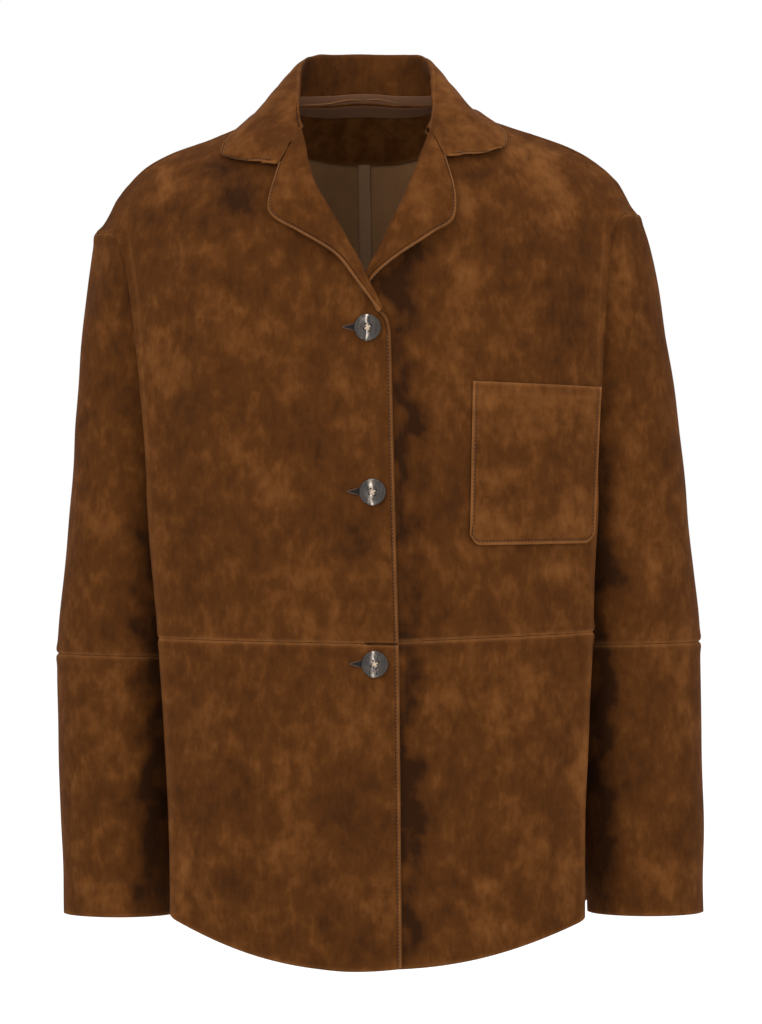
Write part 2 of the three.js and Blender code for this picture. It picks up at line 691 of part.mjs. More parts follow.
// The top of the lapel, from its roll outwards, moves up to the end of the collar
function joinedLapelPoint(side, at, along) {
  const point = lapelPoint(side, at, along);
  const joins = easeBetween(gorge.fade, 0, at) * easeBetween(gorge.from, lapelShares.roll, along);
  if (joins > 0) {
    const share = (along - gorge.from) / (1 - gorge.from);
    const seam = collarPoint(side, mix(collar.foldShare, gorge.notch, share));
    seam.z -= mix(gorge.foldGap, gorge.gap, easeBetween(0.35, 0.9, share));
    point.addScaledVector(seam.sub(lapelPoint(side, 0, along)), joins);
  }
  return point;
}

function buildLapel(side) {
  const sideName = side < 0 ? 'right' : 'left';
  const columns = [0, 0.2, 0.26, 0.32, 0.38, 0.44, 0.5, 0.62, 0.75, 0.88, 1];
  const rows = [0, 0.06, 0.125, 0.19, 0.25, 0.31, 0.375, 0.45, 0.525, 0.65, 0.775, 0.9, 0.95, 1];
  const surface = (at, along) => joinedLapelPoint(side, at, along);
  clothWall(`${sideName}_lapel`, suedePale, surface, rows, columns, { wall: collarWall, flip: side });
}

// Adds the mirrored second row before the first, so that a table runs on through the middle
function throughMiddle(rows, outColumns) {
  const second = { ...rows[1], at: -rows[1].at };
  for (const column of outColumns) {
    second[column] = -rows[1][column];
  }
  return [second, ...rows];
}

const neckRows = throughMiddle(neckline, ['out']);
const collarRows = throughMiddle(collarSections, ['foldOut', 'fallOut', 'edgeOut']);

// The collar's section goes up the stand from the neckline, over the fold and down the fall
function collarPoint(at, along) {
  const side = at < 0 ? -1 : 1;
  const place = Math.abs(at);
  const cell = (column) => read(collarRows, column, place);
  const isLeft = side > 0 ? 1 : 0;
  const higher = isLeft * collar.leftLeafRaise * easeBetween(0.6, 1, place);
  const narrower = isLeft * collar.leftLeafNarrower * easeBetween(0.8, 1, place);
  const onBody = (x, turn, lift) => {
    return bodyPoint(side, x, turn).addScaledVector(bodyTurnDirection(side, x, turn), lift);
  };
  const across = (out) => collar.centre + side * out;
  const footX = neckCentre + side * read(neckRows, 'out', place);
  const foot = onBody(footX, read(neckRows, 'turn', place), collar.footLift);
  const fold = new THREE.Vector3(across(cell('foldOut')), cell('foldY'), cell('foldZ'));
  const middle = onBody(across(cell('fallOut')), cell('fallTurn') - higher, cell('fallLift'));
  const edge = onBody(across(cell('edgeOut') - narrower), cell('edgeTurn') - higher, cell('edgeLift'));
  const outward = edge.clone().sub(foot).setZ(0).normalize();
  const roll = Math.min(collar.roll, foot.distanceTo(fold) * collar.foldShare);
  if (along < collar.foldShare) {
    const stand = new THREE.CubicBezierCurve3(
      foot,
      foot.clone().lerp(fold, collar.standRise),
      fold.clone().addScaledVector(outward, -roll),
      fold,
    );
    return stand.getPoint(along / collar.foldShare);
  }
  const leave = fold.clone().addScaledVector(outward, roll);
  const arrive = middle.clone().multiplyScalar(8).sub(fold).addScaledVector(leave, -3).sub(edge);
  const fall = new THREE.CubicBezierCurve3(fold, leave, arrive.divideScalar(3), edge);
  const point = fall.getPoint((along - collar.foldShare) / (1 - collar.foldShare));
  const ending = easeBetween(collar.endFrom, 1, place);
  return ending > 0 ? point.lerp(collarEndPoint(side, along, fold), ending) : point;
}

function collarEndPoint(side, along, fold) {
  const sideName = side < 0 ? 'right' : 'left';
  const x = read(collarEnd, `${sideName}X`, along);
  const z = read(collarEnd, `${sideName}Z`, along);
  const onFront = bodyPointAt(1, side, x, z);
  onFront.addScaledVector(bodyDirection(1, side, x, z), read(collarEnd, 'lift', along));
  return fold.clone().lerp(onFront, easeBetween(collar.foldShare, 0.5, along));
}

function buildCollar() {
  const half = [0, 0.1, 0.2, 0.3, 0.4, 0.5, 0.6, 0.7, 0.78, 0.86, 0.91, 0.96, 1];
  const rows = [...half.slice(1).reverse().map((at) => -at), ...half];
  const columns = [0, 0.14, 0.26, 0.34, 0.4, 0.46, 0.54, 0.6, 0.645, 0.72, 0.81, 0.9, 1];
  clothWall('collar', suedePale, collarPoint, rows, columns, { wall: collarWall });
}

// The patch pocket lies on the wearer's left front
function pocketPoint(down, across) {
  const x = mix(mix(pocket.topLeft[0], pocket.topRight[0], across),
    mix(pocketFoot.left[0], pocketFoot.right[0], across), down);
  const low = Math.max(down - pocketCorner.down, 0) / (1 - pocketCorner.down);
  const nearSide = Math.max(Math.abs(across - 0.5) - pocketCorner.across, 0) / (0.5 - pocketCorner.across);
  const z = mix(mix(pocket.topLeft[1], pocket.topRight[1], across),
    mix(pocketFoot.left[1], pocketFoot.right[1], across), down) + pocketCorner.size * low * nearSide ** 2;
  const out = shellWall + pocketGap;
  return bodyPointAt(1, 1, x, z).addScaledVector(bodyDirection(1, 1, x, z), out);
}

function buildPocket() {
  const rows = [...steps(0, pocketCorner.down, 6), 0.93, 1];
  const columns = [0, ...steps(0.5 - pocketCorner.across, 0.5 + pocketCorner.across, 6), 1];
  clothWall('chest_pocket', suede, pocketPoint, rows, columns, { flip: 1 });
}

// A flat button with a rounded rim and four holes
function buildButtons() {
  const shape = new THREE.Shape().absarc(0, 0, button.radius - button.bevel, 0, 2 * Math.PI);
  for (const turn of [0.25, 0.75, 1.25, 1.75]) {
    const hole = new THREE.Path();
    const x = button.holeOffset * Math.SQRT2 * Math.cos(turn * Math.PI);
    const y = button.holeOffset * Math.SQRT2 * Math.sin(turn * Math.PI);
    hole.absarc(x, y, button.holeRadius + button.bevel / 2, 0, 2 * Math.PI, true);
    shape.holes.push(hole);
  }
  const geometry = new THREE.ExtrudeGeometry(shape, {
    depth: button.thick - 2 * button.bevel,
    bevelThickness: button.bevel,
    bevelSize: button.bevel / 2,
    bevelSegments: 1,
    curveSegments: 6,
  });
  for (const place of buttonPlaces) {
    const direction = bodyDirection(1, -1, place.x, place.z);
    const mesh = addPiece(place.name, geometry.clone(), horn);
    mesh.position.copy(bodyPointAt(1, -1, place.x, place.z));
    mesh.position.addScaledVector(direction, button.bevel + button.lift);
    mesh.quaternion.setFromUnitVectors(new THREE.Vector3(0, 0, 1), direction);
  }
}

// A point under the back panels, which follow the neckline, so far down from its seam
function insideBack(at, down, inset) {
  const side = at < 0 ? -1 : 1;
  const place = Math.abs(at);
  const away = down / facing.turnLength;
  const x = neckCentre + side * (read(neckRows, 'out', place) + facing.spread * place * away);
  const turn = read(neckRows, 'turn', place) - away * easeBetween(0.75, 0.3, place);
  return bodyPoint(side, x, turn).addScaledVector(bodyTurnDirection(side, x, turn), -inset);
}

function buildInside() {
  const along = [-0.55, -0.44, -0.33, -0.22, -0.11, 0, 0.11, 0.22, 0.33, 0.44, 0.55];
  const options = { wall: trimWall, flip: 1 };
  const facingInset = shellWall + facing.inset;
  const tapeInset = facingInset + trimWall + neckTape.inset;
  const facingSurface = (at, down) => insideBack(at, down, facingInset);
  const tapeSurface = (at, down) => insideBack(at, down, tapeInset);
  clothWall('back_neck_facing', suede, facingSurface, along, steps(1, facing.deep, 5), options);
  clothWall('neck_tape', tapeCloth, tapeSurface, along, steps(1, neckTape.deep, 1), options);
  const seamSurface = (z, across) => {
    const x = centreAt(z) + across;
    const inset = shellWall + seamTape.inset;
    return bodyPointAt(-1, 1, x, z).addScaledVector(bodyDirection(-1, 1, x, z), -inset);
  };
  const acrossSteps = steps(-seamTape.halfWidth, seamTape.halfWidth, 2);
  const rows = steps(seamTape.topZ, seamTape.footZ, 12);
  clothWall('back_seam_tape', fleshSide, seamSurface, rows, acrossSteps, { wall: trimWall, flip: -1 });
}

for (const side of [-1, 1]) {
  buildPanel(1, side);
  buildPanel(-1, side);
  buildSleeve(side);
  buildLapel(side);
}
buildCollar();
buildPocket();
buildButtons();
buildInside();

export default jacket;
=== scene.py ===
import math

import bpy
import numpy as np
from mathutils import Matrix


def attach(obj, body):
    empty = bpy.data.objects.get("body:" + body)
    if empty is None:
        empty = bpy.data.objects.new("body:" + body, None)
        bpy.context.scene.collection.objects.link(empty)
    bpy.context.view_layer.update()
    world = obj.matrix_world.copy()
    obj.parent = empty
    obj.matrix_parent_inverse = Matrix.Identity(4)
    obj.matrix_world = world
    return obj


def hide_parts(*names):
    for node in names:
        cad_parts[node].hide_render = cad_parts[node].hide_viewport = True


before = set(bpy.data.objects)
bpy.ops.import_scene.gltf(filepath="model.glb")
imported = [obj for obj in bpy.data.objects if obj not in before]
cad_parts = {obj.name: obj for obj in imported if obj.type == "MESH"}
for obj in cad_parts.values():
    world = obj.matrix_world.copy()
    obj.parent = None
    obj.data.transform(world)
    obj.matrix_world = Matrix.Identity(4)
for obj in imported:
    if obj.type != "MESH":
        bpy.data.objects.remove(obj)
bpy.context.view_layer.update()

# A suede shirt jacket with nobody in it. The front faces -Y and +X is the wearer's left.
# Sizes are in millimetres here, and become metres as each mesh is made.
metre = 0.001
quarterTurn = math.pi / 2


def sizeTable(names, *rows):
    return {name: np.array([row[i] for row in rows], float) for i, name in enumerate(names)}


body = {
    "crestDrop": 110, "shoulderDepth": 6, "shoulderSeamTurn": 0.25, "neckCentre": -6.5,
    "leanTop": -6.5, "leanBottom": 5.6, "leanFromZ": -40, "leanToZ": -726,
    "frontRoundness": 2.6, "backRoundness": 2.8, "halfWidth": 190,
    "foldShare": 0.66, "bowRight": 15, "bowLeft": 12,
    "lapEdge": 4, "lapNeck": 6, "lapNeckZ": -165, "lapNeckWidth": 26, "hollowX": 35, "hollowWidth": 9, "hollowDepth": 5,
    "hollowTopZ": -190, "hollowBottomZ": -650,
    "shellWall": 1.6, "collarWall": 2.2, "trimWall": 1.0, "seamGap": 0.04,
}

# the shoulder line from shoulder to shoulder, seen from the front
ridge = sizeTable(
    ["at", "z"],
    [-235, -114], [-229, -101], [-218, -87], [-207, -73], [-193, -59], [-172, -46],
    [-134, -32], [-100, -17], [-72, 0], [-40, 16], [-6.5, 26], [27, 16],
    [59, 1], [87, -12], [105, -18.5], [147, -32], [180, -46], [199, -59],
    [213, -73], [224, -87], [229, -101])

# depth of the body at its middle and at its side folds, by height
depths = sizeTable(
    ["at", "front", "frontSide", "back", "backSide"],
    [-740, -114, -61, 101, 74],
    [-600, -112, -61, 97, 74],
    [-457, -112, -60, 92, 74],
    [-330, -115, -60, 98, 76],
    [-230, -118, -59, 107, 78],
    [-150, -113, -58, 105, 78],
    [-80, -105, -57, 100, 76],
    [20, -98, -56, 92, 74])

# the neckline from the middle of the back to the front end of the collar
neckline = sizeTable(
    ["at", "out", "turn"],
    [0, 0, -0.61], [0.2, 36, -0.47], [0.4, 60, -0.2], [0.55, 65, 0.1],
    [0.7, 64, 0.35], [0.85, 60, 0.6], [1, 52, 0.88])

# each side from the shoulder seam (0) by the underarm (8) and the waist seam (10) to the hem (13)
sideNames = ["at", "foldX", "foldZ", "reach", "endX", "endY", "endZ", "handX", "handY", "wider", "raise"]
frontSide = sizeTable(
    sideNames,
    [0, -216, -90, 6, -234, -9, -113, 4, 6, -7, 16],
    [1, -208, -97, 9, -222, -27, -114, 2, -4, -6.5, 16],
    [2, -203, -112, 11, -211, -38, -122, -4, -7, -7, 14],
    [3, -199, -134, 13, -203, -43, -141, -5, -11, -5.5, 12],
    [4, -193, -172, 14, -195, -45, -175, -9, -9, -2.5, 10],
    [5, -189, -225, 16, -184, -42, -225, -10, -14, 0, 7],
    [6, -186, -275, 19, -170, -34, -275, -11, -21, 1.5, 5],
    [7, -183, -315, 23, -157, -18, -315, -9, -29, 3, 3],
    [8, -181.5, -345, 25, -147, 10, -345, -8, -36, 4, 2],
    [9, -177, -400, 25, -144, 10, -400, -8, -42, 4.7, 3],
    [10, -172, -455.5, 26, -142, 10, -455.5, -8, -44, 8, 5],
    [11, -166, -535, 26, -142, 10, -532, -8, -44, 10, 3],
    [12, -162.5, -612, 24, -142, 10, -604, -8, -44, 11, 1],
    [13, -162.5, -690, 22, -142, 10, -676, -8, -44, 11, -2])
backSide = sizeTable(
    sideNames,
    [0, -216, -90, 6, -234, -9, -113, 4, 6, -7, 16],
    [1, -215, -87, 9, -232, 13, -117, 3, 2, -7, 16],
    [2, -211, -96, 10, -223, 34, -126, 1, 6, -7, 14],
    [3, -206, -120, 12, -213, 48, -144, -4, 6, -5.5, 12],
    [4, -199, -162, 14, -204, 57, -176, -10, 3, -2.5, 10],
    [5, -192, -217, 17, -191, 59, -225, -11, 11, 0, 7],
    [6, -187, -271, 20, -174, 53, -275, -12, 18, 1.5, 5],
    [7, -184, -314, 23, -159, 37, -315, -10, 27, 3, 3],
    [8, -182, -345, 25, -147, 10, -345, -8, 34, 4, 2],
    [9, -179, -400, 25, -144, 10, -400, -8, 38, 4.7, 3],
    [10, -176, -455.5, 26, -142, 10, -455.5, -8, 38, 8, 5],
    [11, -175, -535, 26, -142, 10, -532, -8, 38, 10, 3],
    [12, -174, -612, 24, -142, 10, -604, -8, 38, 11, 1],
    [13, -174, -686, 22, -142, 10, -676, -8, 38, 11, -2])
rowOf = {"underarm": 8, "waist": 10, "hem": 13, "levelFrom": 3, "levelAll": 7, "rollStart": 2, "rollEnd": 6}

# the front edges below the lapels and the middle of the back, by the same rows
edges = sizeTable(
    ["at", "rightX", "leftX", "rightZ", "leftZ"],
    [6, 7, -6.3, -183.6, -163.7],
    [6.2, 12.8, -11, -189, -174],
    [6.5, 15.9, -14, -198, -189],
    [7, 17, -17, -217, -214],
    [8, 18.7, -20, -290, -290],
    [9, 20.8, -20, -374, -374],
    [10, 23.1, -20, -459, -459],
    [11, 24.2, -20, -548, -548],
    [12, 25, -19, -637, -637],
    [13, 25.8, -18, -726, -726])
backMiddle = sizeTable(
    ["at", "z"],
    [3, 6], [4, -26], [5, -68], [6, -125], [7, -187], [8, -262], [9, -358], [10, -459], [11, -548],
    [12, -637], [13, -728])

# the largest folds of the body: a line from end to end, its width, and how far it comes forward
foldNames = ["x", "z", "toX", "toZ", "width", "rise"]
frontFolds = [
    (-150, -120, -128, -330, 20, 4), (-96, -150, -84, -430, 24, -3),
    (-120, -470, -132, -690, 17, 4), (-60, -500, -72, -715, 20, -3.5),
    (150, -120, 132, -235, 20, 3.5), (62, -200, 58, -440, 15, 3.5),
    (140, -465, 150, -690, 18, 4), (88, -480, 84, -700, 22, -3.5)]
backFolds = [
    (-120, -130, -104, -420, 26, 4), (112, -150, 100, -430, 26, 4),
    (-60, -480, -70, -710, 24, 4.5), (66, -490, 74, -705, 24, 4),
    (-132, -500, -140, -680, 18, -3.5), (134, -500, 142, -680, 18, -3.5)]


def ease(low, high, value):
    t = np.clip((value - low) / (high - low), 0, 1)
    return t * t * (3 - 2 * t)


def mixed(a, b, share):
    return a + (b - a) * share


def read(rows, column, at):
    # a smooth curve through a column of a table, which never runs past its rows
    keys, values = rows["at"], rows[column]
    steep = np.diff(values) / np.diff(keys)
    before = np.concatenate([steep[:1], steep])
    after = np.concatenate([steep, steep[-1:]])
    least = 3 * np.minimum(np.abs(before), np.abs(after))
    slope = np.sign(before) * np.minimum(np.abs(before + after) / 2, least)
    slope = np.where(before * after <= 0, 0, slope)
    at = np.asarray(at, float)
    i = np.clip(np.searchsorted(keys, at, side="right") - 1, 0, len(keys) - 2)
    span = keys[i + 1] - keys[i]
    t = np.clip((at - keys[i]) / span, 0, 1)
    rise = values[i + 1] - values[i]
    start, end = slope[i] * span, slope[i + 1] * span
    bend = start + end - 2 * rise
    return values[i] + t * (start + t * (rise - start - bend + t * bend))


def place(x, y, z):
    x, y, z = np.broadcast_arrays(np.asarray(x, float), np.asarray(y, float), np.asarray(z, float))
    return np.stack([x, y, z], axis=-1)


def unit(vectors):
    return vectors / np.maximum(np.linalg.norm(vectors, axis=-1, keepdims=True), 1e-9)


def bezier(a, b, c, d, t):
    t = np.asarray(t)[..., None]
    return a * (1 - t) ** 3 + 3 * b * t * (1 - t) ** 2 + 3 * c * t ** 2 * (1 - t) + d * t ** 3


def foldRise(folds, x, z):
    total = 0
    for fromX, fromZ, toX, toZ, width, rise in folds:
        dx, dz = toX - fromX, toZ - fromZ
        along = ((x - fromX) * dx + (z - fromZ) * dz) / (dx * dx + dz * dz)
        across = np.hypot(x - fromX - along * dx, z - fromZ - along * dz) / width
        ends = ease(-0.15, 0.25, along) * ease(1.15, 0.75, along)
        total = total + rise * ends * np.exp(-across * across)
    return total


def centreAt(z):
    share = np.clip((z - body["leanFromZ"]) / (body["leanToZ"] - body["leanFromZ"]), 0, 1)
    return mixed(body["leanTop"], body["leanBottom"], share)


def lapStep(side, x, z):
    # the upper front rises at its edge, and the lower one sinks beside it
    upper = body["lapEdge"] * ease(-48, -20, x) * ease(-105, -150, z)
    nearNeck = np.exp(-((z - body["lapNeckZ"]) / body["lapNeckWidth"]) ** 2)
    upper = upper + body["lapNeck"] * nearNeck * ease(-75, -5, x)
    across = (x - body["hollowX"]) / body["hollowWidth"]
    ends = ease(body["hollowTopZ"], body["hollowTopZ"] - 40, z)
    ends = ends * ease(body["hollowBottomZ"], body["hollowBottomZ"] + 60, z)
    lower = -body["hollowDepth"] * ends * np.exp(-across * across)
    return np.where(side < 0, upper, lower)


def fullDepth(face, side, x, z):
    middle = read(depths, "front" if face > 0 else "back", z)
    edge = read(depths, "frontSide" if face > 0 else "backSide", z)
    roundness = body["frontRoundness"] if face > 0 else body["backRoundness"]
    out = np.clip(np.abs(x - centreAt(z)) / body["halfWidth"], 0, 1.15)
    plain = mixed(middle, edge, out ** roundness)
    if face > 0:
        return plain - foldRise(frontFolds, x, z) - lapStep(side, x, z)
    return plain + foldRise(backFolds, x, z)


def bodyPoint(side, x, turn):
    # turn is how far the cloth has come down from the shoulder line, minus on the back
    size = np.abs(turn)
    drop = np.where(size < quarterTurn, 1 - np.cos(size), 1 + size - quarterTurn)
    z = read(ridge, "z", x) - body["crestDrop"] * drop
    reach = np.sin(np.minimum(size, quarterTurn))
    full = np.where(turn > 0, fullDepth(1, side, x, z), fullDepth(-1, side, x, z))
    return place(x, mixed(body["shoulderDepth"], full, reach), z)


def turnAt(face, x, z):
    drop = np.maximum(read(ridge, "z", x) - z, 0) / body["crestDrop"]
    return face * np.where(drop < 1, np.arccos(np.clip(1 - drop, -1, 1)), quarterTurn + drop - 1)


def bodyPointAt(face, side, x, z):
    return bodyPoint(side, x, turnAt(face, x, z))


def bodyDirection(face, side, x, z, step=0.5):
    wide = bodyPointAt(face, side, x + step, z) - bodyPointAt(face, side, x - step, z)
    high = bodyPointAt(face, side, x, z + step) - bodyPointAt(face, side, x, z - step)
    return unit(np.cross(wide, high) * face)


def bodyTurnDirection(side, x, turn, step=0.01):
    wide = bodyPoint(side, x + 1, turn) - bodyPoint(side, x - 1, turn)
    down = bodyPoint(side, x, turn + step) - bodyPoint(side, x, turn - step)
    return unit(np.cross(down, wide))


def directionOf(surface, a, b, limits, step=1e-3):
    aLow, aHigh, bLow, bHigh = limits
    down = surface(np.minimum(a + step, aHigh), b) - surface(np.maximum(a - step, aLow), b)
    across = surface(a, np.minimum(b + step, bHigh)) - surface(a, np.maximum(b - step, bLow))
    return unit(np.cross(down, across))


def shared(own, mate, limit=-0.3):
    # two walls that meet at a seam have one direction there, unless they lie back to back
    meets = (own * mate).sum(axis=-1, keepdims=True) > limit
    return unit(own + np.where(meets, mate, 0))


print("shape functions ready")


# fronts and backs

lapels = {
    # the roll line, the outer edge, and how far the lapel stands off the front
    "right": sizeTable(
        ["at", "rollX", "rollZ", "edgeX", "edgeZ", "stand"],
        [0, -57.3, -33.5, -73.7, -64, 4],
        [0.27, -49, -70, -84, -100, 4.5],
        [0.36, -45, -81, -80.5, -107.5, 4.5],
        [0.54, -33, -101, -57.6, -121, 5],
        [0.72, -17, -129, -29.4, -139.5, 7.5],
        [0.88, -3, -156, -12, -161, 4.5],
        [1, 9.5, -183, 7.6, -184.6, 1.2]),
    "left": sizeTable(
        ["at", "rollX", "rollZ", "edgeX", "edgeZ", "stand"],
        [0, 48.7, -34, 58.7, -58, 4.5],
        [0.27, 36, -69, 69.5, -95, 5],
        [0.36, 31.5, -80, 68, -108.5, 6],
        [0.54, 22, -101, 50, -122, 8],
        [0.72, 9.5, -127, 24, -139.5, 9],
        [0.88, -1.5, -148, 5.5, -154, 4.5],
        [1, -8, -162, -4.5, -165.6, 1.2]),
    "rollRadius": 5, "endRadius": 2.0, "endFrom": 0.74, "panelInset": 5.5, "endInset": 2.4,
    "facingLip": 13, "lipGap": 1, "gorgeFade": 0.22, "gorgeNotch": 0.63,
}


def sideName(side):
    return "right" if side < 0 else "left"


def rollPlace(side, at, across):
    rows = lapels[sideName(side)]
    rollX, rollZ = read(rows, "rollX", at), read(rows, "rollZ", at)
    wide, down = read(rows, "edgeX", at) - rollX, read(rows, "edgeZ", at) - rollZ
    width = np.hypot(wide, down)
    share = across / width
    return rollX + wide * share, rollZ + down * share, width, read(rows, "stand", at)


def sideRow(rows, side, at):
    wider = read(rows, "wider", at) if side > 0 else 0
    raised = read(rows, "raise", at) if side > 0 else 0
    foldX = side * (wider - read(rows, "foldX", at))
    end = place(side * (wider - read(rows, "endX", at)), read(rows, "endY", at), read(rows, "endZ", at) + raised)
    hand = place(-side * read(rows, "handX", at), read(rows, "handY", at), 0)
    return foldX, read(rows, "foldZ", at) + raised, end, hand, read(rows, "reach", at)


def rowStart(face, side, at):
    # where a row starts: on the neckline, then the roll line or back seam, then the front edge
    nearNeck = rowOf["rollStart"] if face > 0 else rowOf["levelFrom"]
    share = mixed(0.64, 1 if face > 0 else 0, np.clip(at / nearNeck, 0, 1))
    neckX = body["neckCentre"] + side * read(neckline, "out", share)
    neckTurn = read(neckline, "turn", share)
    if face < 0:
        z = read(backMiddle, "z", at)
        x = centreAt(z)
        return np.where(at < nearNeck, neckX, x), np.where(at < nearNeck, neckTurn, turnAt(-1, x, z))
    roll = np.clip((at - rowOf["rollStart"]) / (rowOf["rollEnd"] - rowOf["rollStart"]), 0, 1)
    inset = mixed(lapels["panelInset"], lapels["endInset"], ease(lapels["endFrom"], 1, roll))
    rollX, rollZ, _, _ = rollPlace(side, roll, inset)
    onRoll = at < rowOf["rollEnd"]
    x = np.where(onRoll, rollX, read(edges, sideName(side) + "X", at))
    z = np.where(onRoll, rollZ, read(edges, sideName(side) + "Z", at))
    return np.where(at < nearNeck, neckX, x), np.where(at < nearNeck, neckTurn, turnAt(1, x, z))


def panelPoint(face, side, at, along):
    at, along = np.broadcast_arrays(np.asarray(at, float), np.asarray(along, float))
    foldX, foldZ, end, hand, reach = sideRow(frontSide if face > 0 else backSide, side, at)
    startX, startTurn = rowStart(face, side, at)
    foldTurn = mixed(body["shoulderSeamTurn"], turnAt(face, foldX, foldZ), ease(0, 1, at))
    startZ = bodyPoint(side, startX, startTurn)[..., 2]
    low = np.maximum(at - rowOf["waist"], 0) / (rowOf["hem"] - rowOf["waist"])
    bow = (body["bowRight"] if side < 0 else body["bowLeft"]) * 4 * low * low

    def plain(share):
        x = mixed(startX, foldX, share)
        turned = bodyPoint(side, x, mixed(startTurn, foldTurn, share))
        level = mixed(startZ, foldZ, share) - bow * share * (1 - share)
        z = mixed(turned[..., 2], level, ease(rowOf["levelFrom"], rowOf["levelAll"], at))
        levelled = bodyPointAt(face, side, x, z)
        return np.where((at <= rowOf["levelFrom"])[..., None], turned, levelled)

    flat = plain(np.minimum(along / body["foldShare"], 1))
    corner = plain(np.ones_like(at))
    forward = unit(corner - plain(np.full_like(at, 0.98)))
    t = np.clip((along - body["foldShare"]) / (1 - body["foldShare"]), 0, 1)
    turned = bezier(corner, corner + forward * reach[..., None], end + hand, end, t)
    return np.where((along <= body["foldShare"])[..., None], flat, turned)


def ownPanelDirection(face, side, at, along):
    surface = lambda a, b: panelPoint(face, side, a, b)
    return directionOf(surface, at, along, (0, rowOf["hem"], 0, 1)) * face * side


# sleeves

# from the armhole (0) by the elbow seam (8) to the cuff (11)
sleeveSections = sizeTable(
    ["at", "outerX", "outerZ", "innerX", "innerZ", "depth", "y", "outerWider", "innerWider", "raise"],
    [0, -234, -113, -147, -345, 51, 7, -7, 4, 16],
    [1, -238, -136, -150, -349, 49.5, 7, -2, 4.5, 14],
    [2, -242, -163, -153, -354, 49, 7, 1, 5, 10],
    [3, -246, -200, -156, -361, 49, 7, 4, 5.5, 6],
    [4, -249, -245, -158.5, -370, 49.5, 7, 9, 6, 3],
    [5, -252, -295, -160.5, -382, 50, 7, 12, 6.5, 2],
    [6, -256, -345, -161.5, -400, 51, 8, 13, 7, 2],
    [7, -262, -405, -162, -430, 51, 8, 13, 8, 4],
    [8, -267, -470, -162, -472, 50, 8, 13, 9, 10],
    [9, -266, -540, -162.5, -540, 49, 7, 15.5, 12, 4],
    [10, -264, -612, -163.5, -612, 48, 6, 19, 16, 2],
    [11, -261, -691, -164.5, -691, 45, 5, 22, 19.5, 1])
sleeve = {"elbow": 8, "cuff": 11, "headFade": 3.5}


def armholePoint(side, round_):
    at = rowOf["underarm"] * np.where(round_ <= 0.5, round_ * 2, 2 - round_ * 2)
    front = sideRow(frontSide, side, at)[2]
    back = sideRow(backSide, side, at)[2]
    return np.where((round_ <= 0.5)[..., None], front, back)


def ringAngle(side, round_):
    top = armholePoint(side, np.array(0.0))[..., 2]
    foot = armholePoint(side, np.array(0.5))[..., 2]
    height = np.clip((armholePoint(side, round_)[..., 2] - foot) / (top - foot), 0, 1)
    angle = np.arccos(np.clip(2 * height - 1, -1, 1))
    return np.where(round_ <= 0.5, angle, 2 * math.pi - angle)


def sleeveRing(side, at, angle):
    cell = lambda column: read(sleeveSections, column, at)
    outerWider = cell("outerWider") if side > 0 else 0
    innerWider = cell("innerWider") if side > 0 else 0
    raised = cell("raise") if side > 0 else 0 * at
    outer = place(side * (outerWider - cell("outerX")), cell("y"), cell("outerZ") + raised)
    fall = raised * np.minimum(at / sleeve["elbow"], 1)
    inner = place(side * (innerWider - cell("innerX")), cell("y"), cell("innerZ") + fall)
    point = mixed(outer, inner, ((1 - np.cos(angle)) / 2)[..., None])
    return point - place(0, cell("depth") * np.sin(angle), 0)


def sleevePoint(side, at, turned):
    at, turned = np.broadcast_arrays(np.asarray(at, float), np.asarray(turned, float))
    round_ = turned - np.floor(turned)
    angle = ringAngle(side, round_)
    point = sleeveRing(side, at, angle)
    fade = ease(sleeve["headFade"], 0, at)[..., None]
    loop = armholePoint(side, round_)
    zero = np.zeros_like(at)
    middle = mixed(sleeveRing(side, zero, zero), sleeveRing(side, zero, zero + math.pi), 0.5)
    clear = middle - loop
    clear[..., 0] = 0
    clear = unit(clear)
    clear[..., 0] = side
    loop = loop + clear * body["seamGap"]
    return point + (loop - sleeveRing(side, zero, angle)) * fade


def ownSleeveDirection(side, at, round_):
    surface = lambda a, b: sleevePoint(side, a, b)
    return directionOf(surface, at, round_, (0, sleeve["cuff"], -1, 2)) * -side


# cloth meshes

def evenSteps(curve, low, high, spacing, near=(0.6, 1.5, 2.2, 2.9, 3.6, 4.8)):
    # values that lie evenly along a curve, with closer ones beside both ends
    fine = np.linspace(low, high, 1200)
    points = curve(fine)
    length = np.concatenate([[0], np.cumsum(np.linalg.norm(np.diff(points, axis=0), axis=1))])
    total = length[-1]
    inside = np.linspace(near[-1], total - near[-1], max(int(total / spacing), 4))
    places = np.concatenate([[0], near[:-1], inside, [total - n for n in near[:-1][::-1]], [total]])
    return np.interp(places, length, fine)


def reaches(points, axis):
    # distance of every point from the start and from the end of its own line
    gaps = np.linalg.norm(np.diff(points, axis=axis), axis=-1)
    zero = np.zeros_like(np.take(gaps, [0], axis=axis))
    run = np.concatenate([zero, np.cumsum(gaps, axis=axis)], axis=axis)
    return run, np.take(run, [-1], axis=axis) - run


def unevenness(seed, u, v, size, stretch=1.0):
    # a smooth random height of about -1 to 1, with bumps of that size
    chance = np.random.RandomState(seed)
    total = 0
    for _ in range(9):
        turn, phase = chance.uniform(0, math.pi), chance.uniform(0, 2 * math.pi)
        pace = 2 * math.pi / (size * chance.uniform(0.7, 1.6))
        total = total + np.sin(pace * (u * math.cos(turn) + v * math.sin(turn) / stretch) + phase)
    return total / 3.4


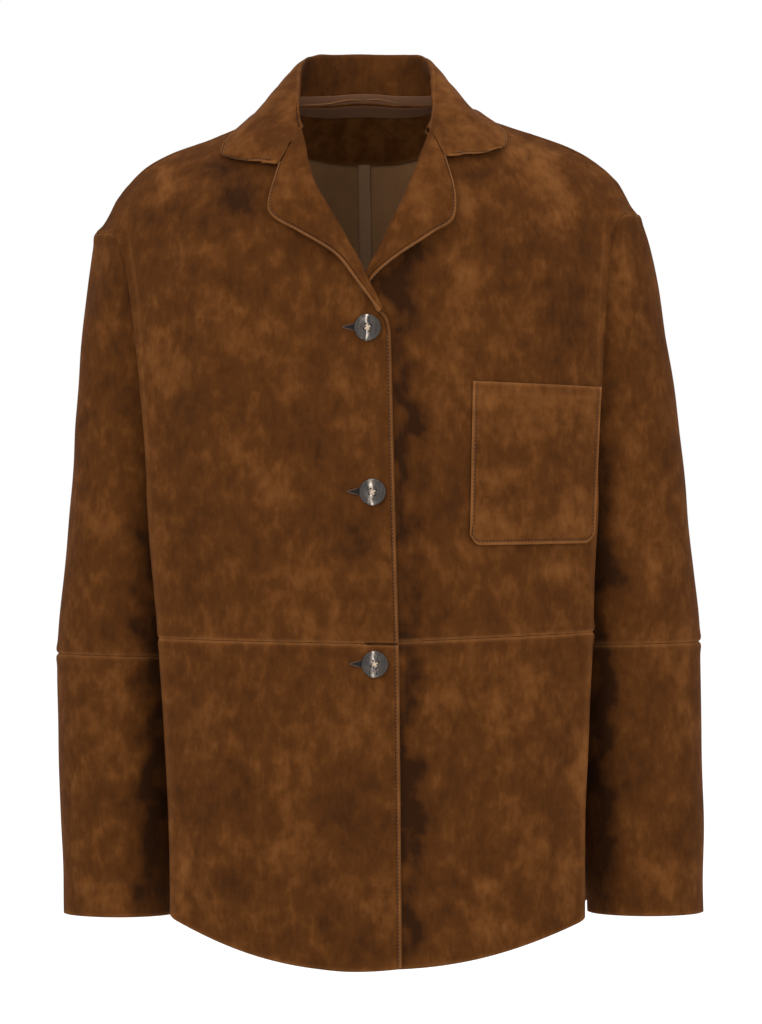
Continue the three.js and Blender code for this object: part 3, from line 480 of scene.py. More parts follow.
def creaseDepth(creases, u, v, seed=3):
    # creases are rows of u, v, toU, toV, width, depth: a soft trough when depth is minus
    total = 0
    for number, (fromU, fromV, toU, toV, width, depth) in enumerate(creases):
        du, dv = toU - fromU, toV - fromV
        length = math.hypot(du, dv)
        along = ((u - fromU) * du + (v - fromV) * dv) / length ** 2
        across = ((u - fromU) * dv - (v - fromV) * du) / length
        across = across + 0.45 * width * np.sin(along * 5.1 + number * 1.7 + seed)
        across = across + 0.2 * width * np.sin(along * 13.3 + number * 2.9)
        ends = ease(-0.08, 0.35, along) * ease(1.08, 0.6, along)
        spread = width * (0.75 + 0.35 * np.sin(along * 3.3 + number))
        lean = np.where(across > 0, 1.0, 1.7)
        total = total + depth * ends * np.exp(-(across * lean / spread) ** 2)
    return total


def patchToneAndShade(patches, u, v, seed=5):
    # lighter and darker places of the nap, and painted shade where a piece lies under or beside another: u, v, half
    # width, half height, tone
    u = u + 7 * unevenness(seed, u, v, 46) + 2.5 * unevenness(seed + 1, u, v, 15)
    v = v + 7 * unevenness(seed + 2, u, v, 50) + 2.5 * unevenness(seed + 3, u, v, 16)
    total = 0
    for atU, atV, wide, high, tone in patches:
        total = total + tone * np.exp(-((u - atU) / wide) ** 2 - ((v - atV) / high) ** 2)
    return total


def seamShape(distance, along, seed, dip=0.9, swell=0.5, pucker=0.35):
    # the cloth turns in at a seam, swells over its allowance, and puckers unevenly beside it
    waves = unevenness(seed, along, 0 * along, 17) + 0.6 * unevenness(seed + 1, along, 0 * along, 8)
    height = -dip * np.exp(-(distance / 1.5) ** 2)
    height = height + swell * np.exp(-((distance - 5) / 3.6) ** 2)
    return height + pucker * waves * np.exp(-((distance - 3) / 5.5) ** 2) * ease(0, 1.5, distance)


def edgeBand(distance, width=2.4):
    # a folded edge: a rubbed, paler band, then the sunken line of its stitches, darkened with painted shade
    groove = np.exp(-((distance - width - 0.5) / 0.6) ** 2)
    rubbed = ease(width + 0.5, width - 0.6, distance)
    return 0.35 * rubbed - 0.5 * groove, 0.6 * rubbed, -1.1 * groove


def thinned(points, out, wall):
    # in a tight fold the wall is thinner, so that its inner face doesn't cross itself
    wall = wall.copy()
    for _ in range(16):
        inner = points - out * wall[..., None]
        tight = np.zeros(wall.shape, bool)
        for axis in (0, 1):
            before, after = np.diff(points, axis=axis), np.diff(inner, axis=axis)
            crossed = (before * after).sum(axis=-1) < 0.25 * (before * before).sum(axis=-1)
            first = [slice(None), slice(None)]
            second = [slice(None), slice(None)]
            first[axis], second[axis] = slice(0, -1), slice(1, None)
            tight[tuple(first)] |= crossed
            tight[tuple(second)] |= crossed
        wall[tight] *= 0.8
    return wall


def shellMesh(name, points, out, wall, closed=False, flip=False, marks=None, lined=False):
    # a closed wall of cloth with rounded rims: outer points, inner points and a rim between them
    rows, columns = points.shape[:2]
    wall = thinned(points, out, np.broadcast_to(wall, (rows, columns)).astype(float))[..., None]
    outer, inner = points.copy(), points - out * wall
    middle = points - out * wall * 0.5
    pull = np.zeros_like(points)
    pull[0] += unit(points[1] - points[0]) * wall[0] * 0.34
    pull[-1] += unit(points[-2] - points[-1]) * wall[-1] * 0.34
    if not closed:
        pull[:, 0] += unit(points[:, 1] - points[:, 0]) * wall[:, 0] * 0.34
        pull[:, -1] += unit(points[:, -2] - points[:, -1]) * wall[:, -1] * 0.34
    outer, inner = outer + pull, inner + pull
    grid = np.arange(rows * columns).reshape(rows, columns)
    if closed:
        loops = [grid[0], grid[-1][::-1]]
        wide = np.concatenate([grid, grid[:, :1]], axis=1)
    else:
        loops = [np.concatenate([grid[0, :-1], grid[:-1, -1], grid[-1, :0:-1], grid[:0:-1, 0]])]
        wide = grid
    a, b = wide[:-1, :-1].ravel(), wide[1:, :-1].ravel()
    c, d = wide[1:, 1:].ravel(), wide[:-1, 1:].ravel()
    count = rows * columns
    faces = [np.stack([a, b, c, d], axis=1), np.stack([a, d, c, b], axis=1) + count]
    rims, base = [], 2 * count
    for loop in loops:
        n = len(loop)
        rims.append(middle.reshape(-1, 3)[loop])
        here, following = loop, np.roll(loop, -1)
        rim, nextRim = base + np.arange(n), base + np.roll(np.arange(n), -1)
        faces.append(np.stack([here, following, nextRim, rim], axis=1))
        faces.append(np.stack([rim, nextRim, following + count, here + count], axis=1))
        base += n
    faces = np.concatenate(faces)
    if flip:
        faces = faces[:, ::-1]
    vertices = np.concatenate([outer.reshape(-1, 3), inner.reshape(-1, 3), *rims]) * metre
    mesh = bpy.data.meshes.new(name)
    mesh.from_pydata(vertices.tolist(), [], faces.tolist())
    mesh.update()
    sides = np.diff(np.concatenate([points, points[:, :1]], axis=1) if closed else points, axis=1)
    downs = np.diff(points, axis=0)
    size = np.linalg.norm(np.cross(sides[:-1], downs[:, :sides.shape[1]]), axis=-1).sum() / 1e6
    print(name, "area", round(float(size), 4))
    rimOf = np.concatenate(loops)
    marks = dict(marks or {})
    marks["inside"] = None
    for label, values in marks.items():
        if values is None:
            bare = 1 - np.broadcast_to(np.asarray(lined, float), (rows, columns)).ravel()
            spread = np.concatenate([np.zeros(count), bare, 0.3 * bare[rimOf]])
        else:
            flat = np.broadcast_to(values, (rows, columns)).ravel()
            spread = np.concatenate([flat, flat, flat[rimOf]])
        mesh.attributes.new(label, "FLOAT", "POINT").data.foreach_set("value", spread.astype(np.float32))
    for polygon in mesh.polygons:
        polygon.use_smooth = True
    return finishPiece(name, mesh)


def finishPiece(name, mesh):
    piece = bpy.data.objects.new(name, mesh)
    bpy.context.scene.collection.objects.link(piece)
    return piece


def keepPiece(piece, material, slotName=None, *nodes):
    piece.data.materials.append(material)
    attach(piece, "root")
    if nodes:
        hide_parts(*nodes)
    return piece


# materials

class Value:
    # a socket of a material, so that shader maths reads as maths
    def __init__(self, paint, socket):
        self.paint, self.socket = paint, socket

    def maths(self, operation, first, second=0.0):
        return self.paint.add("ShaderNodeMath", {"operation": operation}, {0: first, 1: second})

    def __add__(self, other):
        return self.maths("ADD", self, other)

    def __radd__(self, other):
        return self.maths("ADD", other, self)

    def __sub__(self, other):
        return self.maths("SUBTRACT", self, other)

    def __rsub__(self, other):
        return self.maths("SUBTRACT", other, self)

    def __mul__(self, other):
        return self.maths("MULTIPLY", self, other)

    def __rmul__(self, other):
        return self.maths("MULTIPLY", other, self)

    def __truediv__(self, other):
        return self.maths("DIVIDE", self, other)

    def __rtruediv__(self, other):
        return self.maths("DIVIDE", other, self)

    def __pow__(self, other):
        return self.maths("POWER", self, other)

    def clipped(self):
        return self.paint.add("ShaderNodeClamp", {}, {"Value": self, "Min": 0.0, "Max": 1.0})


class Paint:
    # one material and its nodes
    def __init__(self, name):
        self.material = bpy.data.materials.new(name)
        self.material.use_nodes = True
        self.tree = self.material.node_tree
        self.tree.nodes.clear()

    def add(self, kind, settings, values, output=0):
        node = self.tree.nodes.new(kind)
        for setting, value in settings.items():
            if setting == "stops":
                while len(node.color_ramp.elements) < len(value):
                    node.color_ramp.elements.new(0.5)
                for element, (position, colour) in zip(node.color_ramp.elements, value):
                    element.position, element.color = position, (*colour, 1)
            else:
                setattr(node, setting, value)
        for socket, value in values.items():
            if isinstance(value, Value):
                self.tree.links.new(value.socket, node.inputs[socket])
            else:
                node.inputs[socket].default_value = value
        return Value(self, node.outputs[output])

    def mark(self, name):
        return self.add("ShaderNodeAttribute", {"attribute_name": name}, {}, "Fac")

    def spots(self, scale, detail=2.0, roughness=0.5, distortion=0.0, stretch=None):
        coords = self.add("ShaderNodeTexCoord", {}, {}, "Object")
        if stretch:
            coords = self.add("ShaderNodeVectorMath", {"operation": "MULTIPLY"}, {0: coords, 1: stretch})
        values = {"Vector": coords, "Scale": scale, "Detail": detail, "Roughness": roughness,
                  "Distortion": distortion}
        return self.add("ShaderNodeTexNoise", {}, values, "Fac")

    def blend(self, share, first, second):
        values = {0: share, 6: first, 7: second}
        return self.add("ShaderNodeMix", {"data_type": "RGBA"}, values, 2)

    def finish(self, shader):
        output = self.tree.nodes.new("ShaderNodeOutputMaterial")
        self.tree.links.new(shader.socket, output.inputs["Surface"])
        return self.material


def srgb(red, green, blue):
    linear = lambda c: c / 12.92 if c <= 0.04045 else ((c + 0.055) / 1.055) ** 2.4
    return tuple(linear(c / 255) for c in (red, green, blue))


suedeLook = {
    "dark": (40, 20, 6), "middle": (70, 38, 12), "light": (103, 63, 29),
    "worn": (119, 76, 40), "flesh": (142, 104, 70),
    "roughness": 0.92, "sheen": 0.14, "napBump": 0.3,
}


def suedeMaterial(name, look):
    paint = Paint(name)
    clouds = paint.spots(21, 2.0, 0.5)
    blots = paint.spots(78, 2.5, 0.55, 0.2, (1.0, 1.0, 0.75))
    brushed = paint.spots(260, 3.0, 0.6, 0.0, (1.0, 1.0, 0.45))
    nap = paint.spots(1500, 2.0, 0.7)
    tone = 0.5 + paint.mark("tone") * 0.45 + (clouds - 0.5) * 0.65 + (blots - 0.5) * 0.8
    tone = tone + (brushed - 0.5) * 0.4 + (nap - 0.5) * 0.25
    rgba = lambda key: (*srgb(*look[key]), 1)
    stops = [(0.0, srgb(*look["dark"])), (0.5, srgb(*look["middle"])), (1.0, srgb(*look["light"]))]
    face = paint.add("ShaderNodeValToRGB", {"stops": stops}, {"Fac": tone}, "Color")
    wear = (paint.mark("worn") * (0.3 + blots * 1.1)).clipped()
    face = paint.blend(wear, face, rgba("worn"))
    flesh = paint.blend((blots * 0.35).clipped(), rgba("flesh"), rgba("middle"))
    colour = paint.blend(paint.mark("inside"), face, flesh)
    height = nap * 0.5 + brushed * 0.9 + blots * 1.4
    bump = paint.add("ShaderNodeBump", {}, {"Height": height, "Strength": look["napBump"],
                                            "Distance": 0.0012}, "Normal")
    values = {"Base Color": colour, "Roughness": look["roughness"], "Normal": bump,
              "Specular IOR Level": 0.05, "Sheen Weight": look["sheen"], "Sheen Roughness": 0.45,
              "Sheen Tint": (*srgb(155, 98, 54), 1)}
    return paint.finish(paint.add("ShaderNodeBsdfPrincipled", {}, values, "BSDF"))


def plainMaterial(name, colour, roughness):
    paint = Paint(name)
    grain = paint.spots(700, 3.0, 0.6)
    dark = (*srgb(*[c * 0.78 for c in colour]), 1)
    mixedColour = paint.blend(grain, dark, (*srgb(*colour), 1))
    bump = paint.add("ShaderNodeBump", {}, {"Height": grain, "Strength": 0.2, "Distance": 0.0004}, "Normal")
    values = {"Base Color": mixedColour, "Roughness": roughness, "Normal": bump}
    return paint.finish(paint.add("ShaderNodeBsdfPrincipled", {}, values, "BSDF"))


def hornMaterial():
    # grey brown horn with a pale, broken streak down the button
    paint = Paint("hornShine")
    wavy = paint.spots(160, 2.0, 0.5)
    grain = paint.spots(420, 3.0, 0.6, 0.0, (1.0, 1.0, 0.25))
    across = paint.mark("across") + 0.9 + (wavy - 0.5) * 6
    streak = (1.5 / (1 + across * across * 1.6) * (grain * 3.4 - 1.3)).clipped()
    ground = paint.blend(grain, (*srgb(10, 8, 7), 1), (*srgb(58, 50, 44), 1))
    colour = paint.blend(streak, ground, (*srgb(216, 200, 184), 1))
    values = {"Base Color": colour, "Roughness": 0.45, "Specular IOR Level": 0.3}
    return paint.finish(paint.add("ShaderNodeBsdfPrincipled", {}, values, "BSDF"))


def paperMaterial(colour):
    paint = Paint("paper")
    values = {"Base Color": (*[c * 0.8 for c in srgb(*colour)], 1), "Roughness": 1.0,
              "Specular IOR Level": 0.0, "Emission Color": (*srgb(*colour), 1), "Emission Strength": 0.22}
    return paint.finish(paint.add("ShaderNodeBsdfPrincipled", {}, values, "BSDF"))


suede = suedeMaterial("suede", suedeLook)
fleshSide = plainMaterial("fleshSide", (150, 112, 78), 0.95)
tapeWeave = plainMaterial("tapeWeave", (100, 62, 33), 0.9)
threadTwist = plainMaterial("threadTwist", (92, 56, 26), 0.7)
paleThread = plainMaterial("paleThread", (196, 172, 146), 0.6)
# near-black painted shadow for the buttonhole slots
slotShade = plainMaterial("slotShade", (13, 7, 3), 1.0)
holeThread = plainMaterial("holeThread", (62, 36, 15), 0.8)
hornShine = hornMaterial()
print("materials ready")

# panels

panels = {
    "cell": 3.4,
    "hemTurn": 24, "hemThick": 1.3, "edgeThick": 1.2, "foldThin": 0.7,
    "creases": {
        # seen from the front, in mm: x, z, toX, toZ, width, depth
        "right_front": [
            (-180, -186, -118, -226, 10, -1.3), (-176, -246, -112, -256, 9, -0.9),
            (-164, -330, -104, -316, 13, -1.1), (-62, -208, -18, -236, 8, -0.7),
            (-24, -345, -92, -374, 9, -0.8), (-14, -492, -66, -520, 9, -0.7),
            (-148, -476, -143, -604, 11, 1.3), (-97, -520, -88, -668, 15, -1.3),
            (-132, -636, -129, -702, 8, 1.1), (-30, -556, -24, -694, 14, 1.0),
            (-92, -104, -70, -168, 11, -1.0), (-146, -82, -122, -138, 10, -0.9),
            (-48, -386, -58, -446, 10, 0.8)],
        "left_front": [
            (182, -170, 122, -214, 11, -1.4), (176, -232, 118, -236, 8, -0.8),
            (66, -118, 52, -196, 10, -0.9), (58, -236, 48, -338, 13, 1.2),
            (164, -410, 104, -432, 10, -1.0), (152, -470, 149, -610, 12, 1.4),
            (70, -490, 60, -640, 13, -1.2), (112, -520, 116, -690, 14, 1.2),
            (146, -628, 152, -692, 8, -1.0), (46, -372, 62, -442, 9, -0.8),
            (120, -80, 96, -128, 11, 0.9)],
        "right_back": [
            (-186, -186, -112, -232, 11, -1.3), (-178, -250, -118, -262, 9, -0.9),
            (-150, -330, -92, -352, 12, -1.0), (-40, -96, -26, -230, 13, 0.9),
            (-118, -478, -122, -640, 13, -1.2), (-44, -500, -36, -690, 14, 1.1),
            (-88, -412, -28, -440, 10, -0.8), (-142, -560, -146, -672, 9, 1.0)],
        "left_back": [
            (182, -172, 116, -222, 11, -1.3), (176, -262, 106, -268, 9, -0.9),
            (148, -346, 84, -366, 11, -1.0), (34, -118, 30, -262, 12, 0.8),
            (112, -486, 124, -648, 13, -1.2), (40, -520, 34, -700, 13, 1.1),
            (30, -420, 92, -446, 10, -0.8), (148, -540, 150, -660, 9, 0.9)],
    },
    "patches": {
        # darker and lighter places of the nap, and painted shade under the collar leaves, under the lapel ends and
        # beside the right front's edge: x, z, half width, half height, tone
        # the first two dark places, under the collar leaf, are partly painted shade
        "right_front": [
            (-112, -90, 24, 28, -1.0), (-130, -64, 14, 11, -0.6), (-182, -113, 11, 22, -0.4),
            (-100, -167, 16, 9, -0.35), (-153, -290, 18, 34, -0.3), (-56, -316, 28, 28, -0.25),
            (-9, -374, 13, 26, -0.35), (-140, -414, 34, 16, -0.3), (-108, -556, 20, 38, -0.4),
            (-17, -588, 18, 38, -0.45), (-108, -662, 24, 18, -0.4), (-34, -694, 24, 12, -0.3),
            (-174, -78, 15, 11, 0.6), (-108, -176, 12, 9, 0.5), (-71, -246, 17, 19, 0.35),
            (-133, -178, 11, 9, 0.35), (-171, -216, 9, 22, 0.35), (-17, -272, 12, 20, 0.25),
            (-50, -440, 24, 10, 0.35), (-141, -506, 17, 13, 0.35), (-58, -556, 13, 11, 0.4),
            (-158, -652, 9, 26, 0.95), (-134, -664, 8, 13, 0.5), (-75, -630, 13, 18, 0.35),
            (9, -668, 7, 24, 0.4), (-60, -712, 22, 7, 0.3), (0, -228, 9, 14, 0.25)],
        "left_front": [
            # the first three dark places are painted shadow beside the right front's edge, the next four are painted
            # shadow under the lapel ends at the foot of the V, and the next one is painted shade under the collar leaf
            (30, -290, 7, 90, -1.5), (32, -560, 8, 116, -1.5), (33, -694, 9, 24, -1.3),
            (12, -160, 9, 12, -1.8), (24, -152, 10, 9, -1.5), (40, -139, 12, 7, -0.9), (22, -178, 8, 15, -1.3),
            (86, -72, 18, 9, -0.7), (107, -143, 13, 8, -0.35),
            (156, -176, 13, 18, -0.4), (180, -216, 9, 15, -0.4), (66, -274, 20, 20, -0.25),
            (156, -424, 18, 14, -0.35), (98, -440, 16, 12, -0.25), (50, -646, 13, 28, -0.4),
            (124, -672, 13, 11, -0.3), (140, -588, 13, 15, -0.35), (150, -66, 14, 20, 0.85),
            (130, -46, 13, 9, 0.7), (162, -94, 9, 16, 0.7), (123, -117, 11, 9, 0.45),
            (82, -100, 13, 7, 0.5), (84, -167, 15, 11, 0.45), (140, -150, 15, 9, 0.35),
            (107, -226, 20, 7, 0.35), (182, -160, 7, 18, 0.4), (50, -390, 13, 17, 0.4),
            (158, -398, 11, 18, 0.3), (115, -514, 19, 11, 0.5), (66, -498, 15, 9, 0.35),
            (174, -562, 7, 26, 0.55), (165, -654, 8, 18, 0.6), (90, -671, 13, 13, 0.4)],
        "right_back": [
            (-112, -96, 26, 20, 0.5), (-60, -140, 20, 26, -0.4), (-140, -212, 22, 26, -0.35),
            (-84, -262, 22, 18, 0.4), (-40, -346, 20, 30, -0.3), (-126, -388, 18, 16, 0.35),
            (-70, -470, 26, 12, 0.35), (-130, -548, 18, 34, -0.4), (-48, -590, 18, 24, 0.35),
            (-98, -660, 26, 16, -0.35), (-152, -640, 10, 24, 0.6)],
        "left_back": [
            (118, -84, 24, 22, 0.6), (52, -120, 18, 28, -0.35), (136, -196, 20, 24, -0.4),
            (88, -240, 20, 16, 0.35), (46, -322, 22, 26, 0.3), (120, -360, 20, 24, -0.35),
            (70, -440, 24, 14, -0.3), (134, -520, 16, 30, 0.4), (60, -600, 20, 28, -0.4),
            (112, -672, 22, 14, 0.35), (160, -600, 9, 28, 0.5)],
    },
    "flat": {
        "right_front_upper": (320, 520, 0.112), "left_front_upper": (320, 520, 0.112),
        "right_front_lower": (300, 275, 0.073), "left_front_lower": (300, 275, 0.074),
        "right_back_upper": (300, 480, 0.118), "left_back_upper": (300, 480, 0.119),
        "right_back_lower": (272, 272, 0.066), "left_back_lower": (272, 272, 0.067),
    },
}


def panelGrid(face, side, low, high):
    at = evenSteps(lambda a: panelPoint(face, side, a, np.full_like(a, 0.45)), low, high, panels["cell"])
    along = evenSteps(lambda b: panelPoint(face, side, np.full_like(b, (low + high) / 2 + 1), b), 0, 1,
                      panels["cell"])
    at, along = np.meshgrid(at, along, indexing="ij")
    points = panelPoint(face, side, at, along)
    out = ownPanelDirection(face, side, at, along)
    if low == 0:
        out[0] = shared(out[0], ownPanelDirection(-face, side, at[0], along[0]))
    near, seamAt = out[:, -1].copy(), at[:, -1]
    onSide = seamAt >= rowOf["underarm"]
    mateBack = ownPanelDirection(-face, side, seamAt, np.ones_like(seamAt))
    half = np.minimum(seamAt, rowOf["underarm"]) / rowOf["underarm"] / 2
    mateSleeve = ownSleeveDirection(side, np.zeros_like(half), half if face > 0 else 1 - half)
    out[:, -1] = np.where(onSide[:, None], shared(near, mateBack), shared(near, mateSleeve))
    points[..., 1] -= face * body["seamGap"] / 2
    if face < 0:
        points[..., 0] += side * body["seamGap"] / 2 * np.maximum(1 - along * 4, 0)
    return at, along, points, out


def makePanel(face, side, part):
    key = sideName(side) + ("_front" if face > 0 else "_back")
    name = f"{key}_{part}"
    low, high = (0, rowOf["waist"]) if part == "upper" else (rowOf["waist"], rowOf["hem"])
    at, along, points, out = panelGrid(face, side, low, high)
    if part == "lower":
        points[..., 2] -= body["seamGap"] * np.maximum(1 - (at - rowOf["waist"]), 0)
    fromTop, fromFoot = reaches(points, 0)
    fromStart, fromSeam = reaches(points, 1)
    x, z = points[..., 0], points[..., 2]
    lift = creaseDepth(panels["creases"][key], x, z)
    lift = lift * ease(0, 18, fromSeam)
    lift = lift + 0.5 * unevenness(31 + face, x, z, 70, 1.8) * ease(0, 25, fromSeam)
    worn = np.zeros_like(x)
    waistAway = fromFoot if part == "upper" else fromTop
    lift = lift + seamShape(waistAway, x, 11 + face)
    worn = worn + 0.7 * np.exp(-(waistAway / 2.0) ** 2)
    lift = lift + seamShape(fromSeam, z, 21 + face, pucker=0.25)
    worn = worn + 0.3 * np.exp(-(fromSeam / 2.5) ** 2)
    if part == "upper":
        lift = lift + seamShape(fromTop, x, 41, pucker=0.2)
    if face < 0:
        lift = lift + seamShape(fromStart, z, 51, pucker=0.25)
        worn = worn + 0.3 * np.exp(-(fromStart / 2.5) ** 2)
    wall = np.full_like(x, body["shellWall"])
    if part == "lower":
        wall = wall + panels["hemThick"] * ease(panels["hemTurn"] + 1, panels["hemTurn"] - 1, fromFoot)
        worn = worn + 0.4 * np.exp(-(fromFoot / 2.5) ** 2)
    tone = patchToneAndShade(panels["patches"][key], x, z, 61 + face)
    if face > 0:
        onEdge = ease(rowOf["rollEnd"] - 0.2, rowOf["rollEnd"] + 0.1, at)
        wall = wall + panels["edgeThick"] * onEdge * ease(30, 27, fromStart)
        bandLift, bandWorn, grooveShade = edgeBand(fromStart)
        lift, worn, tone = lift + bandLift * onEdge, worn + bandWorn * onEdge, tone + grooveShade * onEdge
    worn = worn + 0.25 * np.exp(-((along - body["foldShare"] - 0.03) / 0.02) ** 2) * ease(1, 3, at)
    # the two legs of the fold lie close together, so the wall is thin there
    wall = wall * (1 - panels["foldThin"] * ease(-0.1, 0.02, along - body["foldShare"]))
    piece = shellMesh(name + "_cloth", points + out * lift[..., None], out, wall,
                      flip=face * side < 0, marks={"tone": tone, "worn": worn},
                      lined=ease(-0.08, -0.02, along - body["foldShare"]))
    keepPiece(piece, suede, "suede", name)
    print(name, "across", round(float(fromStart[:, -1].max())), "down", round(float(fromTop[-1].max())))
    return {"points": points + out * lift[..., None], "out": out, "at": at}


# sleeves again, as cloth

sleevesLook = {
    "cell": 3.4, "cuffTurn": 24, "cuffThick": 1.3,
    # u is mm round the sleeve from its outer line, plus to the front, and v is the height z
    "creases": {
        "right": [
            (52, -214, 104, -300, 12, -1.3), (66, -340, 138, -372, 10, -1.2), (50, -404, 132, -428, 9, -1.6),
            (62, -452, 144, -462, 8, -1.3), (40, -506, 128, -494, 9, -1.3), (56, -556, 130, -574, 9, -0.9),
            (70, -636, 128, -624, 10, -0.9), (26, -240, 34, -380, 14, 1.0), (-60, -236, -112, -300, 12, -1.1),
            (-48, -410, -130, -438, 9, -1.4), (-62, -492, -140, -486, 9, -1.2), (-50, -600, -118, -622, 10, -0.9)],
        "left": [
            (46, -200, 108, -276, 12, -1.4), (60, -322, 140, -350, 10, -1.1), (54, -392, 134, -412, 9, -1.5),
            (58, -446, 138, -452, 8, -1.4), (44, -492, 126, -484, 9, -1.2), (62, -548, 132, -560, 9, -1.0),
            (58, -628, 120, -642, 10, -0.9), (28, -300, 30, -420, 13, 0.9), (-54, -230, -110, -286, 12, -1.1),
            (-52, -402, -136, -424, 9, -1.4), (-58, -484, -134, -478, 9, -1.1), (-54, -590, -122, -604, 10, -0.9)],
    },
    "patches": {
        # the long dark places on each sleeve's inner side, the fourth and fifth of each list, are painted shade between
        # sleeve and body
        "right": [
            (-211, -196, 9, 54, -0.5), (-232, -358, 9, 30, 0.45), (-230, -130, 9, 14, 0.4),
            (-182, -560, 12, 170, -1.3), (-172, -390, 12, 60, -0.8), (-246, -588, 8, 56, 0.4), (-224, -612, 6, 46, 0.35),
            (-246, -284, 8, 36, -0.3), (-228, -520, 12, 18, 0.25), (-236, -670, 14, 12, 0.3)],
        "left": [
            (210, -142, 8, 20, 0.6), (235, -200, 8, 28, -0.35), (240, -390, 9, 38, 0.35),
            (194, -520, 10, 190, -1.3), (186, -350, 10, 60, -0.8), (264, -505, 8, 46, 0.35), (240, -654, 14, 18, 0.45),
            (222, -556, 10, 38, -0.3), (248, -470, 9, 20, -0.2), (226, -290, 8, 24, 0.25)],
    },
    "flat": {
        "right_sleeve_upper": (400, 400, 0.085), "left_sleeve_upper": (400, 400, 0.088),
        "right_sleeve_lower": (330, 232, 0.069), "left_sleeve_lower": (335, 236, 0.073),
    },
}


def makeSleeve(side, part):
    key = sideName(side)
    name = f"{key}_sleeve_{part}"
    low, high = (0, sleeve["elbow"]) if part == "upper" else (sleeve["elbow"], sleeve["cuff"])
    at = evenSteps(lambda a: sleevePoint(side, a, np.full_like(a, 0.25)), low, high, sleevesLook["cell"])
    fine = np.linspace(0, 1, 1201)
    ring = sleevePoint(side, np.full_like(fine, 5.0), fine)
    length = np.concatenate([[0], np.cumsum(np.linalg.norm(np.diff(ring, axis=0), axis=1))])
    count = int(length[-1] / sleevesLook["cell"])
    round_ = np.interp(np.arange(count) / count * length[-1], length, fine)
    at, round_ = np.meshgrid(at, round_, indexing="ij")
    points = sleevePoint(side, at, round_)
    out = ownSleeveDirection(side, at, round_)
    if part == "upper":
        panelAt = rowOf["underarm"] * np.where(round_[0] <= 0.5, round_[0] * 2, 2 - round_[0] * 2)
        front = ownPanelDirection(1, side, panelAt, np.ones_like(panelAt))
        back = ownPanelDirection(-1, side, panelAt, np.ones_like(panelAt))
        out[0] = shared(out[0], np.where((round_[0] <= 0.5)[:, None], front, back))
    else:
        points[..., 2] -= body["seamGap"] * np.maximum(1 - (at - sleeve["elbow"]), 0)
    fromTop, fromFoot = reaches(points, 0)
    x, z = points[..., 0], points[..., 2]
    angle = ringAngle(side, round_)
    turnedMm = np.where(angle <= math.pi, angle, angle - 2 * math.pi) * 50
    lift = creaseDepth(sleevesLook["creases"][key], turnedMm, z)
    lift = lift + 0.5 * unevenness(71 + side, turnedMm, z, 60, 1.5)
    elbowAway = fromFoot if part == "upper" else fromTop
    lift = lift + seamShape(elbowAway, turnedMm, 81, pucker=0.4)
    worn = 0.5 * np.exp(-(elbowAway / 2.2) ** 2)
    wall = np.full_like(x, body["shellWall"])
    if part == "upper":
        lift = lift * ease(0, 14, fromTop) + seamShape(fromTop, z, 91, pucker=0.25)
        worn = worn + 0.45 * np.exp(-(fromTop / 2.5) ** 2)
    else:
        wall = wall + sleevesLook["cuffThick"] * ease(sleevesLook["cuffTurn"] + 1, sleevesLook["cuffTurn"] - 1,
                                                      fromFoot)
        worn = worn + 0.4 * np.exp(-(fromFoot / 2.5) ** 2)
    tone = patchToneAndShade(sleevesLook["patches"][key], x, z, 101 + side)
    piece = shellMesh(name + "_cloth", points + out * lift[..., None], out, wall, closed=True,
                      flip=side > 0, marks={"tone": tone, "worn": worn})
    keepPiece(piece, suede, "suede", name)
    print(name, "down", round(float(fromTop[-1].max())), "round", round(float(length[-1])))


# collar

collar = {
    "cell": 2.6, "centre": -4.3, "leftLeafRaise": 0.06, "leftLeafNarrower": 3.5, "roll": 7.5, "footLift": 0.5,
    "endFrom": 0.86, "patches": [], "flat": (515, 135, 0.0427),
}
# from the middle of the back to its front end: the fold, the middle of the fall and the outer edge
collarSections = sizeTable(
    ["at", "foldOut", "foldY", "foldZ", "fallOut", "fallTurn", "fallLift", "edgeOut", "edgeTurn", "edgeLift"],
    [-0.2, -28, 62, 45.5, -37, -0.68, 25, -42, -0.88, 5],
    [0, 0, 67, 46, 0, -0.8, 25, 0, -0.98, 5],
    [0.2, 28, 62, 45.5, 37, -0.68, 25, 42, -0.88, 5],
    [0.4, 48, 38, 41.5, 59, -0.35, 20, 74, -0.5, 5],
    [0.55, 54, 10, 34, 67, 0, 15, 88, -0.05, 4.5],
    [0.7, 57, -18, 20, 74, 0.33, 11, 99, 0.27, 4.5],
    [0.85, 57, -52, -5, 83, 0.62, 8.5, 113, 0.49, 5],
    [0.95, 55, -74, -23, 80, 0.95, 7, 124.5, 0.66, 5],
    [1, 53, -86, -30, 68, 1.1, 6, 119, 0.75, 5])
# the collar's front end, seen from the front: down the gorge to the notch, then out along the leaf
collarEnd = sizeTable(
    ["at", "rightX", "rightZ", "leftX", "leftZ", "lift"],
    [0.4, -57.3, -30, 48.7, -30, 0],
    [0.5, -64, -44, 52.5, -42, 4.5],
    [0.6, -71.5, -60, 58, -55, 6],
    [0.645, -76, -64, 62, -58, 6],
    [0.7, -84, -63, 70, -57, 6],
    [0.85, -103, -59, 91, -53.5, 5.5],
    [1, -119, -55.5, 107, -48.5, 5])
neckRows = sizeTable(
    ["at", "out", "turn"],
    [-0.2, -36, -0.47], [0, 0, -0.61], [0.2, 36, -0.47], [0.4, 60, -0.2], [0.55, 65, 0.1],
    [0.7, 64, 0.35], [0.85, 60, 0.6], [1, 52, 0.88])


